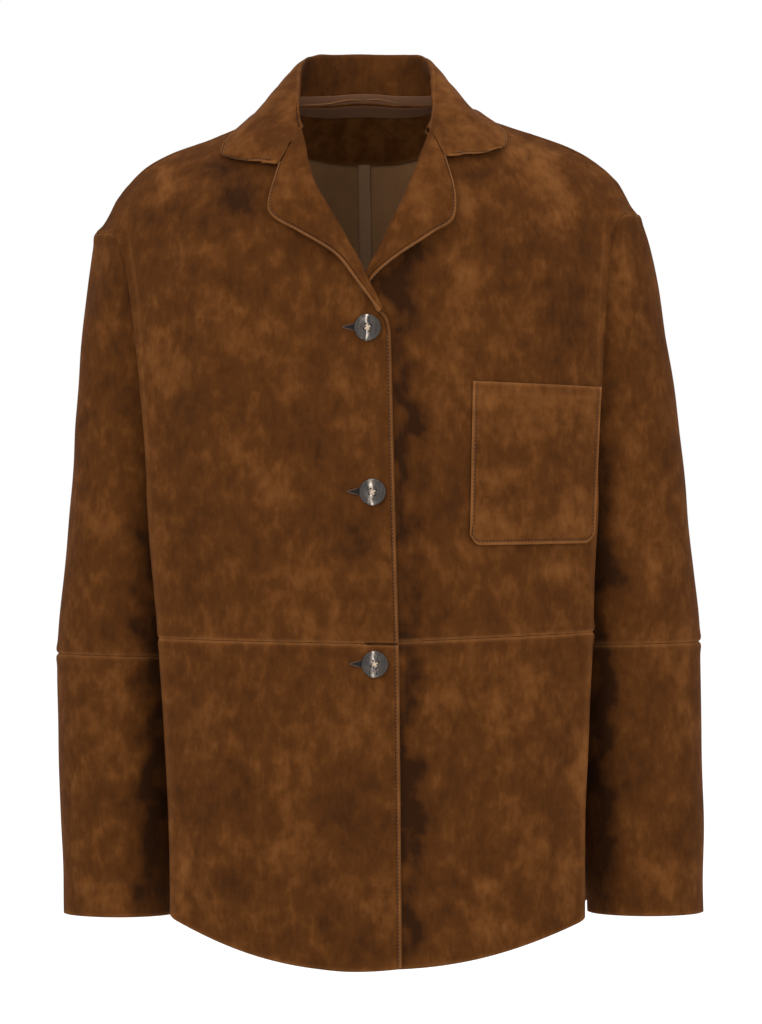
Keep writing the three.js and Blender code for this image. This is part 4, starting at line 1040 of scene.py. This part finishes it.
def collarPoint(at, along):
    at, along = np.broadcast_arrays(np.asarray(at, float), np.asarray(along, float))
    side = np.where(at < 0, -1.0, 1.0)
    away = np.abs(at)
    cell = lambda column: read(collarSections, column, away)
    higher = np.where(side > 0, collar["leftLeafRaise"] * ease(0.6, 1, away), 0)

    def onBody(x, turn, lift):
        return bodyPoint(side, x, turn) + bodyTurnDirection(side, x, turn) * np.asarray(lift)[..., None]

    footX = body["neckCentre"] + side * read(neckRows, "out", away)
    foot = onBody(footX, read(neckRows, "turn", away), np.full_like(away, collar["footLift"]))
    fold = place(collar["centre"] + side * cell("foldOut"), cell("foldY"), cell("foldZ"))
    middle = onBody(collar["centre"] + side * cell("fallOut"), cell("fallTurn") - higher, cell("fallLift"))
    edgeOut = cell("edgeOut") - np.where(side > 0, collar["leftLeafNarrower"] * ease(0.8, 1, away), 0)
    edge = onBody(collar["centre"] + side * edgeOut, cell("edgeTurn") - higher, cell("edgeLift"))
    outward = edge - foot
    outward[..., 2] = 0
    outward = unit(outward)
    roll = np.minimum(collar["roll"], np.linalg.norm(foot - fold, axis=-1) * 0.4)[..., None]
    stand = bezier(foot, mixed(foot, fold, 0.45), fold - outward * roll, fold, np.clip(along / 0.4, 0, 1))
    leave = fold + outward * roll
    arrive = (middle * 8 - fold - leave * 3 - edge) / 3
    fallShare = np.clip((along - 0.4) / 0.6, 0, 1)
    fall = bezier(fold, leave, arrive, edge, fallShare)
    # near its end the fall turns into the gorge, the notch and the lower edge of the leaf
    endX = np.where(side < 0, read(collarEnd, "rightX", along), read(collarEnd, "leftX", along))
    endZ = np.where(side < 0, read(collarEnd, "rightZ", along), read(collarEnd, "leftZ", along))
    onFront = bodyPointAt(1, side, endX, endZ)
    onFront = onFront + bodyDirection(1, side, endX, endZ) * read(collarEnd, "lift", along)[..., None]
    onFront = mixed(fold, onFront, ease(0.4, 0.5, along)[..., None])
    fall = mixed(fall, onFront, ease(collar["endFrom"], 1, away)[..., None])
    return np.where((along < 0.4)[..., None], stand, fall)


collarNotch = 0.645


def makeCollar():
    at = evenSteps(lambda a: collarPoint(a, np.full_like(a, 0.75)), -1, 1, collar["cell"])
    along = evenSteps(lambda b: collarPoint(np.full_like(b, 0.6), b), 0, 1, collar["cell"])
    at, along = np.meshgrid(at, along, indexing="ij")
    points = collarPoint(at, along)
    out = directionOf(collarPoint, at, along, (-1, 1, 0, 1))
    fromRight, fromLeft = reaches(points, 0)
    fromFoot, fromEdge = reaches(points, 1)
    lift = 0.35 * unevenness(111, points[..., 0], points[..., 2] + points[..., 1], 30)
    lift = lift * ease(0, 6, fromEdge)
    ends = np.minimum(fromRight, fromLeft)
    fromLeaf = np.where(along > collarNotch, np.minimum(fromEdge, ends), fromEdge)
    bandLift, worn, grooveShade = edgeBand(fromLeaf)
    lift = lift + bandLift
    worn = worn + 0.1 * np.exp(-(ends / 1.6) ** 2) + 0.3 * np.exp(-((along - 0.4) / 0.03) ** 2)
    # the fall is a little lighter, and the stand under it is darkened with painted shade
    tone = 0.35 * ease(0.38, 0.55, along) - 0.45 * ease(0.4, 0.3, along) + grooveShade
    piece = shellMesh("collar_cloth", points + out * lift[..., None], out, body["collarWall"], lined=True,
                      marks={"tone": tone, "worn": worn})
    keepPiece(piece, suede, "suede", "collar")
    print("collar round", round(float(fromRight[-1].max())), "across", round(float(fromFoot[:, -1].max())))
    return {"piece": piece, "points": points + out * lift[..., None], "out": out,
            "along": along}


# lapels

def lapelPoint(side, at, along):
    at, along = np.broadcast_arrays(np.asarray(at, float), np.asarray(along, float))
    _, _, width, stand = rollPlace(side, at, 0)
    under = body["shellWall"] + lapels["lipGap"] + body["collarWall"]
    over = mixed(lapels["rollRadius"], lapels["endRadius"], ease(lapels["endFrom"], 1, at))
    radius = (over + under) / 2
    turnX = radius - 0.6
    angle = math.pi * (along - 0.2) / 0.3
    share = np.clip((along - 0.5) / 0.5, 0, 1)
    across = np.where(along < 0.2, mixed(lapels["facingLip"], turnX, along / 0.2),
                      np.where(along < 0.5, turnX - radius * np.sin(angle), mixed(turnX, width, share)))
    topOut = mixed(over, stand + body["collarWall"], share) + 1.5 * np.sin(math.pi * share)
    out = np.where(along < 0.2, -under, np.where(along < 0.5, (over - under) / 2 - radius * np.cos(angle), topOut))
    x, z, _, _ = rollPlace(side, at, across)
    return bodyPointAt(1, side, x, z) + bodyDirection(1, side, x, z) * out[..., None]


def lapelShape(side, at, along):
    # the lapel joins the end of the collar in the gorge seam, from the fold to the notch
    at, along = np.broadcast_arrays(np.asarray(at, float), np.asarray(along, float))
    point = lapelPoint(side, at, along)
    first = lapelPoint(side, np.zeros_like(at), along)
    onCollar = np.where(along < 0.35, 0.4 * ease(-0.3, 0.35, along), mixed(0.4, lapels["gorgeNotch"], (along - 0.35) / 0.65))
    joined = collarPoint(side * np.ones_like(at), np.clip(onCollar, 0, 1))
    joined = joined + place(0, -0.1, -body["seamGap"])
    onTop = ease(0.3, 0.48, along)
    return point + (joined - first) * (ease(lapels["gorgeFade"], 0, at) * onTop)[..., None]


def makeLapel(side):
    key = sideName(side)
    at = evenSteps(lambda a: lapelShape(side, a, np.full_like(a, 0.75)), 0, 1, 2.6)
    along = evenSteps(lambda b: lapelShape(side, np.full_like(b, 0.4), b), 0, 1, 2.2)
    at, along = np.meshgrid(at, along, indexing="ij")
    points = lapelShape(side, at, along)
    surface = lambda a, b: lapelShape(side, a, b)
    out = directionOf(surface, at, along, (0, 1, 0, 1)) * side
    fromTop, fromFoot = reaches(points, 0)
    fromLip, fromEdge = reaches(points, 1)
    lift = 0.3 * unevenness(121 + side, points[..., 0], points[..., 2], 28) * ease(0, 6, fromEdge)
    bandLift, worn, grooveShade = edgeBand(fromEdge)
    lift = lift + bandLift
    worn = worn + 0.15 * np.exp(-(fromTop / 1.6) ** 2)
    tone = 0.1 + grooveShade
    piece = shellMesh(f"{key}_lapel_cloth", points + out * lift[..., None], out, body["collarWall"],
                      flip=side < 0, marks={"tone": tone, "worn": worn}, lined=True)
    keepPiece(piece, suede, "suede", f"{key}_lapel")
    print(key, "lapel down", round(float(fromTop[-1].max())), "across", round(float(fromLip[:, -1].max())))
    return {"points": points + out * lift[..., None], "out": out}


# chest pocket

pocket = {
    "topLeft": (83.6, -242), "topRight": (191.5, -245.5), "footLeft": (81.1, -377.5),
    "footRight": (185.8, -376), "corner": 9, "gap": 0.9, "hem": 9,
    "patches": [(132, -338, 22, 15, -0.6), (100, -262, 14, 9, 0.35), (168, -352, 9, 18, 0.4),
                (156, -288, 14, 16, -0.3), (96, -320, 9, 14, 0.25)],
    "flat": (115, 142, 0.0157),
}


def pocketPoint(down, across):
    down, across = np.broadcast_arrays(np.asarray(down, float), np.asarray(across, float))
    x = mixed(mixed(pocket["topLeft"][0], pocket["topRight"][0], across),
              mixed(pocket["footLeft"][0], pocket["footRight"][0], across), down)
    corner = pocket["corner"] * np.maximum(down - 0.85, 0) / 0.15
    nearSide = np.maximum(np.abs(across - 0.5) - 0.42, 0) / 0.08
    z = mixed(mixed(pocket["topLeft"][1], pocket["topRight"][1], across),
              mixed(pocket["footLeft"][1], pocket["footRight"][1], across), down) + corner * nearSide ** 2
    out = body["shellWall"] + pocket["gap"]
    return bodyPointAt(1, 1, x, z) + bodyDirection(1, 1, x, z) * out


def makePocket():
    down = evenSteps(lambda a: pocketPoint(a, np.full_like(a, 0.5)), 0, 1, 2.6)
    across = evenSteps(lambda b: pocketPoint(np.full_like(b, 0.5), b), 0, 1, 2.6)
    down, across = np.meshgrid(down, across, indexing="ij")
    points = pocketPoint(down, across)
    out = directionOf(pocketPoint, down, across, (0, 1, 0, 1))
    fromTop, fromFoot = reaches(points, 0)
    fromLeft, fromRight = reaches(points, 1)
    sewn = np.minimum(np.minimum(fromLeft, fromRight), fromFoot)
    lift = 0.35 * unevenness(131, points[..., 0], points[..., 2], 34) * ease(0, 8, sewn)
    bandLift, worn, grooveShade = edgeBand(sewn)
    hemLine = np.exp(-((fromTop - pocket["hem"]) / 1.2) ** 2)
    lift = lift + bandLift - 0.3 * hemLine + 0.4 * ease(pocket["hem"] + 2, pocket["hem"] - 1, fromTop)
    worn = worn + 0.6 * np.exp(-(fromTop / 2.2) ** 2) + 0.25 * hemLine
    x, z = points[..., 0], points[..., 2]
    tone = 0.3 + grooveShade + patchToneAndShade(pocket["patches"], x, z, 133)
    piece = shellMesh("chest_pocket_cloth", points + out * lift[..., None], out, body["shellWall"],
                      marks={"tone": tone, "worn": worn})
    keepPiece(piece, suede, "suede", "chest_pocket")
    return {"piece": piece, "points": points + out * lift[..., None], "out": out}


# inside the neck

neckInside = {
    "facingDeep": 46, "facingInset": 1.3, "tapeDeep": 13, "tapeInset": 0.4, "tapeStart": 0.03, "tapeOver": 4,
    "seamHalfWidth": 5.5, "seamTopZ": -38, "seamFootZ": -452, "seamInset": 0.9,
    "facingFlat": (210, 46, 0.0084), "tapeFlat": (200, 17, 0.0032), "seamFlat": (11, 425, 0.0046),
}


def insideBack(at, down, inset):
    at, down = np.broadcast_arrays(np.asarray(at, float), np.asarray(down, float))
    side = np.where(at < 0, -1.0, 1.0)
    away = np.abs(at)
    x = body["neckCentre"] + side * read(neckRows, "out", away)
    turn = read(neckRows, "turn", away)
    share = down / 75
    x = x + side * 12 * away * share
    turn = turn - share * ease(0.75, 0.3, away)
    return bodyPoint(side, x, turn) - bodyTurnDirection(side, x, turn) * inset


def tapePoint(at, down):
    # the tape lies on the foot of the stand and hangs over the top of the facing
    at, down = np.broadcast_arrays(np.asarray(at, float), np.asarray(down, float))
    foot = np.full_like(at, neckInside["tapeStart"])
    onStand = collarPoint(at, foot)
    inward = place(body["neckCentre"], 0, 0) - onStand
    inward[..., 2] = 0
    onStand = onStand + unit(inward) * (neckInside["tapeInset"] + body["trimWall"] + 2.2)
    depth = body["shellWall"] + neckInside["facingInset"] + body["trimWall"] + neckInside["tapeInset"]
    below = insideBack(at, np.maximum(down, 1.5), depth)
    return mixed(onStand, below, ease(0, neckInside["tapeOver"], down)[..., None])


def makeInside():
    depth = body["shellWall"] + neckInside["facingInset"]
    facing = lambda a, b: insideBack(a, b, depth + body["trimWall"])
    strips = [
        ("back_neck_facing", facing, 1, neckInside["facingDeep"], suede, "suede", "facingFlat"),
        ("neck_tape", tapePoint, 0, neckInside["tapeDeep"], tapeWeave, "neck_tape", "tapeFlat"),
    ]
    for name, surface, top, deep, material, slotName, flat in strips:
        at = evenSteps(lambda a: surface(a, np.full_like(a, 5)), -0.55, 0.55, 3)
        down = evenSteps(lambda b: surface(np.zeros_like(b), b), top, deep, 2.5)
        at, down = np.meshgrid(at, down, indexing="ij")
        points = surface(at, down)
        out = directionOf(surface, at, down, (-0.55, 0.55, top, deep))
        towardNeck = place(body["neckCentre"], 0, 0) - points
        towardNeck[..., 2] = 0
        facesNeck = (out * towardNeck).sum() > 0
        out = out if facesNeck else -out
        fromTop, fromFoot = reaches(points, 1)
        worn = 0.5 * np.exp(-(fromFoot / 1.5) ** 2)
        marks = {"tone": 0.3 + 0.3 * worn, "worn": worn}
        piece = shellMesh(name + "_cloth", points, out, body["trimWall"], flip=not facesNeck, marks=marks,
                          lined=True)
        keepPiece(piece, material, slotName, name)
    surface = lambda z, across: (bodyPointAt(-1, 1, centreAt(z) + across, z)
                                 - bodyDirection(-1, 1, centreAt(z) + across, z)
                                 * (body["shellWall"] + neckInside["seamInset"]))
    z = np.linspace(neckInside["seamTopZ"], neckInside["seamFootZ"], 130)
    across = np.linspace(-neckInside["seamHalfWidth"], neckInside["seamHalfWidth"], 7)
    z, across = np.meshgrid(z, across, indexing="ij")
    points = surface(z, across)
    out = bodyDirection(-1, 1, centreAt(z) + across, z)
    piece = shellMesh("back_seam_tape_cloth", points, out, body["trimWall"], flip=True,
                      marks={"tone": 0 * z, "worn": 0 * z})
    keepPiece(piece, fleshSide, "flesh_side", "back_seam_tape")


cloth = {}
for side in (-1, 1):
    for face in (1, -1):
        for part in ("upper", "lower"):
            cloth[face, side, part] = makePanel(face, side, part)
    for part in ("upper", "lower"):
        makeSleeve(side, part)
    cloth["lapel", side] = makeLapel(side)
cloth["collar"] = makeCollar()
cloth["pocket"] = makePocket()
makeInside()
print("cloth ready")

# buttons

button = {
    "radius": 11, "thick": 2.6, "rimWide": 2.0, "dish": 0.7, "holeRadius": 0.95, "holeOffset": 2.1,
    "holeTurn": 0.5, "gap": 0.9,
    "places": {"button_top": (-2.6, -198.3), "button_middle": (1.5, -333.5), "button_bottom": (3.4, -475.3)},
}


def lathe(profile, count, centre=(0, 0)):
    # a closed round solid from radius and height pairs, as vertices and faces
    vertices, faces = [], []
    for radius, height in profile:
        for step in range(count):
            turn = 2 * math.pi * step / count
            vertices.append((centre[0] + radius * math.cos(turn), centre[1] + radius * math.sin(turn), height))
    for ring in range(len(profile) - 1):
        for step in range(count):
            following = (step + 1) % count
            faces.append((ring * count + step, ring * count + following,
                          (ring + 1) * count + following, (ring + 1) * count + step))
    faces.append(tuple(reversed(range(count))))
    faces.append(tuple((len(profile) - 1) * count + step for step in range(count)))
    return vertices, faces


def rawMesh(name, vertices, faces, smooth=True):
    mesh = bpy.data.meshes.new(name)
    mesh.from_pydata([tuple(v) for v in vertices], [], [tuple(f) for f in faces])
    for polygon in mesh.polygons:
        polygon.use_smooth = smooth
    return mesh


def buttonMesh(name):
    radius, thick, rim = button["radius"], button["thick"], button["rimWide"]
    flat = thick - button["dish"]
    profile = [(0.4, 0), (radius - 1.6, 0), (radius - 0.6, 0.25), (radius - 0.1, 0.8), (radius, 1.3),
               (radius - 0.15, 1.9), (radius - 0.6, thick - 0.15), (radius - 1.0, thick),
               (radius - rim + 0.3, thick - 0.1), (radius - rim, flat - 0.1), (radius - rim - 0.5, flat - 0.25),
               (radius - rim - 1.2, flat), (4.6, flat + 0.1), (0.4, flat - 0.05)]
    disc = finishPiece(name + "_disc", rawMesh(name + "_disc", *lathe(profile, 72)))
    vertices, faces = [], []
    for corner in range(4):
        turn = button["holeTurn"] + corner * quarterTurn
        reach = button["holeOffset"] * math.sqrt(2)
        drill, sides = lathe([(button["holeRadius"], -1), (button["holeRadius"], thick + 1)], 20,
                             (reach * math.cos(turn), reach * math.sin(turn)))
        faces += [tuple(i + len(vertices) for i in side) for side in sides]
        vertices += drill
    drills = finishPiece(name + "_drills", rawMesh(name + "_drills", vertices, faces))
    holes = disc.modifiers.new("holes", "BOOLEAN")
    holes.object, holes.operation = drills, "DIFFERENCE"
    bpy.context.view_layer.update()
    made = bpy.data.meshes.new_from_object(disc.evaluated_get(bpy.context.evaluated_depsgraph_get()))
    for spare in (disc, drills):
        bpy.data.objects.remove(spare)
    return made


def buttonFrame(x, z):
    x, z = np.array(float(x)), np.array(float(z))
    normal = bodyDirection(1, -1, x, z)
    right = unit(np.cross(normal, np.array([0, 0, 1.0])))
    right = right if right[0] > 0 else -right
    return bodyPointAt(1, -1, x, z) + normal * button["gap"], right, unit(np.cross(normal, right)), normal


def makeButtons():
    for name, (x, z) in button["places"].items():
        centre, right, up, normal = buttonFrame(x, z)
        mesh = buttonMesh(name)
        local = np.array([tuple(v.co) for v in mesh.vertices])
        world = centre + local[:, :1] * right + local[:, 1:2] * up + local[:, 2:] * normal
        mesh.vertices.foreach_set("co", (world * metre).ravel().astype(np.float32))
        mesh.attributes.new("across", "FLOAT", "POINT").data.foreach_set("value", local[:, 0].astype(np.float32))
        for polygon in mesh.polygons:
            polygon.use_smooth = polygon.area > 2e-7
        mesh.update()
        keepPiece(finishPiece(name + "_horn", mesh), hornShine, "horn", name)


# small stitches in one mesh, each with its place, its line, the cloth's direction and its size
def stitchMesh(name, centres, alongs, normals, length=2.1, wide=0.55, high=0.3):
    rings = [(-0.5, 0.3), (-0.3, 0.85), (0.0, 1.0), (0.3, 0.85), (0.5, 0.3)]
    sides = 6
    centres, alongs, normals = np.array(centres), unit(np.array(alongs)), unit(np.array(normals))
    across = unit(np.cross(alongs, normals))
    vertices = []
    for share, size in rings:
        for side in range(sides):
            turn = 2 * math.pi * side / sides
            vertices.append(centres + alongs * share * length + across * wide * size * math.cos(turn)
                            + normals * (high * size * math.sin(turn) + 0.05))
    vertices = np.stack(vertices, axis=1)
    one = []
    for ring in range(len(rings) - 1):
        for side in range(sides):
            following = (side + 1) % sides
            one.append((ring * sides + side, ring * sides + following,
                        (ring + 1) * sides + following, (ring + 1) * sides + side))
    ends = [tuple(reversed(range(sides))), tuple(range((len(rings) - 1) * sides, len(rings) * sides))]
    count = len(rings) * sides
    faces = [tuple(i + number * count for i in face) for number in range(len(centres)) for face in one + ends]
    return rawMesh(name, vertices.reshape(-1, 3) * metre, faces)


sewing = {"step": 3.1, "length": 2.1, "row": 4, "slotLength": 20, "slotHalfHeight": 2.4, "slotMiddle": -9.5}


def alongLine(points, normals, step):
    # evenly spaced places on a line of points
    gaps = np.linalg.norm(np.diff(points, axis=0), axis=1)
    run = np.concatenate([[0], np.cumsum(gaps)])
    places = np.arange(step / 2, run[-1], step)
    pick = lambda values: np.stack([np.interp(places, run, values[:, i]) for i in range(3)], axis=1)
    centres = pick(points)
    return centres, np.gradient(centres, axis=0), pick(normals)


def makeStitches():
    row = sewing["row"]
    upper, lower = cloth[1, -1, "upper"], cloth[1, -1, "lower"]
    below = upper["at"][:, 0] > rowOf["rollEnd"] + 0.6
    lines = {"front_edge_stitches": [
        (upper["points"][below, row], upper["out"][below, row]),
        (lower["points"][:, row], lower["out"][:, row])]}
    collarCloth = cloth["collar"]
    leaf = collarCloth["along"][0] > collarNotch + 0.03
    lines["collar_stitches"] = [(collarCloth["points"][row:-row, -1 - row], collarCloth["out"][row:-row, -1 - row])]
    for end in (row, -1 - row):
        lines["collar_stitches"].append((collarCloth["points"][end, leaf][:-row], collarCloth["out"][end, leaf][:-row]))
    lines["lapel_stitches"] = [(cloth["lapel", side]["points"][2:, -1 - row], cloth["lapel", side]["out"][2:, -1 - row])
                               for side in (-1, 1)]
    patch = cloth["pocket"]
    lines["pocket_stitches"] = [
        (patch["points"][:-row, row], patch["out"][:-row, row]),
        (patch["points"][:-row, -1 - row], patch["out"][:-row, -1 - row]),
        (patch["points"][-1 - row, row:-row], patch["out"][-1 - row, row:-row])]
    for name, paths in lines.items():
        found = [alongLine(points, normals, sewing["step"]) for points, normals in paths]
        centres, alongs, normals = (np.concatenate(part) for part in zip(*found))
        mesh = stitchMesh(name, centres, alongs, normals, sewing["length"], 0.4, 0.3)
        keepPiece(finishPiece(name, mesh), threadTwist)


def makeButtonholes():
    # a slot with a worked edge beside each button, drawn open by it, as a near-black lens of painted shadow, and the
    # thread that holds the button
    for number, (x, z) in enumerate(button["places"].values()):
        turn = np.linspace(0, 2 * math.pi, 57)[:-1]
        flatX = x + sewing["slotMiddle"] + sewing["slotLength"] / 2 * np.cos(turn)
        flatZ = z + sewing["slotHalfHeight"] * np.sin(turn) * (0.95 + 0.4 * np.cos(turn)) + 0.3
        normals = bodyDirection(1, -1, flatX, flatZ)
        rim = bodyPointAt(1, -1, flatX, flatZ) + normals * 0.45
        middleX, middleZ = np.array(x + sewing["slotMiddle"]), np.array(z + 0.3)
        middle = bodyPointAt(1, -1, middleX, middleZ) + bodyDirection(1, -1, middleX, middleZ) * 0.35
        count = len(turn)
        vertices = np.concatenate([rim, middle[None], rim - normals, middle[None] - normals[:1]]) * metre
        faces = [(step, (step + 1) % count, count) for step in range(count)]
        faces += [((step + 1) % count + count + 1, step + count + 1, 2 * count + 1) for step in range(count)]
        faces += [(step, step + count + 1, (step + 1) % count + count + 1, (step + 1) % count)
                  for step in range(count)]
        slot = finishPiece(f"buttonhole_{number}", rawMesh(f"buttonhole_{number}", vertices, faces, False))
        keepPiece(slot, slotShade)
        outward = unit(rim - middle)
        worked = stitchMesh(f"buttonhole_{number}_stitches", rim + outward * 0.7, outward, normals, 1.9, 0.5, 0.35)
        keepPiece(finishPiece(f"buttonhole_{number}_stitches", worked), holeThread)
        centre, right, up, normal = buttonFrame(x, z)
        top = centre + normal * (button["thick"] - button["dish"] + 0.25)
        centres, alongs = [], []
        for offset in (-0.35, 0.35):
            for corner in (0, 1):
                turned = button["holeTurn"] + corner * quarterTurn
                line = right * math.cos(turned) + up * math.sin(turned)
                centres.append(top + np.cross(line, normal) * offset)
                alongs.append(line)
        reach = 2 * button["holeOffset"] * math.sqrt(2)
        thread = stitchMesh(f"button_thread_{number}", centres, alongs, [normal] * 4, reach, 0.42, 0.4)
        keepPiece(finishPiece(f"button_thread_{number}", thread), paleThread)


makeButtons()
makeStitches()
makeButtonholes()
print("buttons and stitches ready")

# floor, light and camera

studio = {
    "floorZ": -0.83, "floorRadius": 40.0,
    "paper": (255, 255, 255), "world": 1.0,
    "camera": (0.0085, -3.6, -0.350), "viewHeight": 0.8704,
    "lights": [
        # place, aimed at, side length, watts
        ((-1.5, -2.6, 1.3), (0, 0, -0.3), 1.6, 40),
        ((1.9, -2.4, 0.6), (0, 0, -0.35), 1.6, 22),
        ((0.0, -0.6, 2.2), (0, 0, -0.3), 1.4, 24),
    ],
}


def makeStudio():
    rings, count = 5, 48
    vertices = [(0, 0, studio["floorZ"])]
    for ring in range(1, rings + 1):
        for step in range(count):
            turn = 2 * math.pi * step / count
            out = studio["floorRadius"] * ring / rings
            vertices.append((out * math.cos(turn), out * math.sin(turn), studio["floorZ"]))
    faces = [(0, 1 + step, 1 + (step + 1) % count) for step in range(count)]
    for ring in range(rings - 1):
        for step in range(count):
            a, b = 1 + ring * count + step, 1 + ring * count + (step + 1) % count
            faces.append((a, a + count, b + count, b))
    mesh = bpy.data.meshes.new("studio_paper")
    mesh.from_pydata(vertices, [], faces)
    paper = finishPiece("studio_paper", mesh)
    paper.data.materials.append(paperMaterial(studio["paper"]))
    world = bpy.data.worlds.new("studio")
    world.use_nodes = True
    world.node_tree.nodes["Background"].inputs["Color"].default_value = (*srgb(*studio["paper"]), 1)
    world.node_tree.nodes["Background"].inputs["Strength"].default_value = studio["world"]
    bpy.context.scene.world = world
    for number, (spot, aim, size, watts) in enumerate(studio["lights"]):
        light = bpy.data.lights.new(f"softbox_{number}", "AREA")
        light.size, light.energy = size, watts
        lamp = bpy.data.objects.new(f"softbox_{number}", light)
        lamp.location = spot
        away = np.array(aim) - np.array(spot)
        lamp.rotation_euler = (math.acos(-away[2] / np.linalg.norm(away)), 0,
                               math.atan2(away[1], away[0]) - quarterTurn)
        bpy.context.scene.collection.objects.link(lamp)
    lens = bpy.data.cameras.new("camera")
    lens.sensor_width = 36
    lens.lens = 36 * abs(studio["camera"][1]) / studio["viewHeight"]
    camera = bpy.data.objects.new("camera", lens)
    camera.location = studio["camera"]
    camera.rotation_euler = (quarterTurn, 0, 0)
    bpy.context.scene.collection.objects.link(camera)
    bpy.context.scene.camera = camera
    bpy.context.scene.view_settings.view_transform = "Standard"


makeStudio()
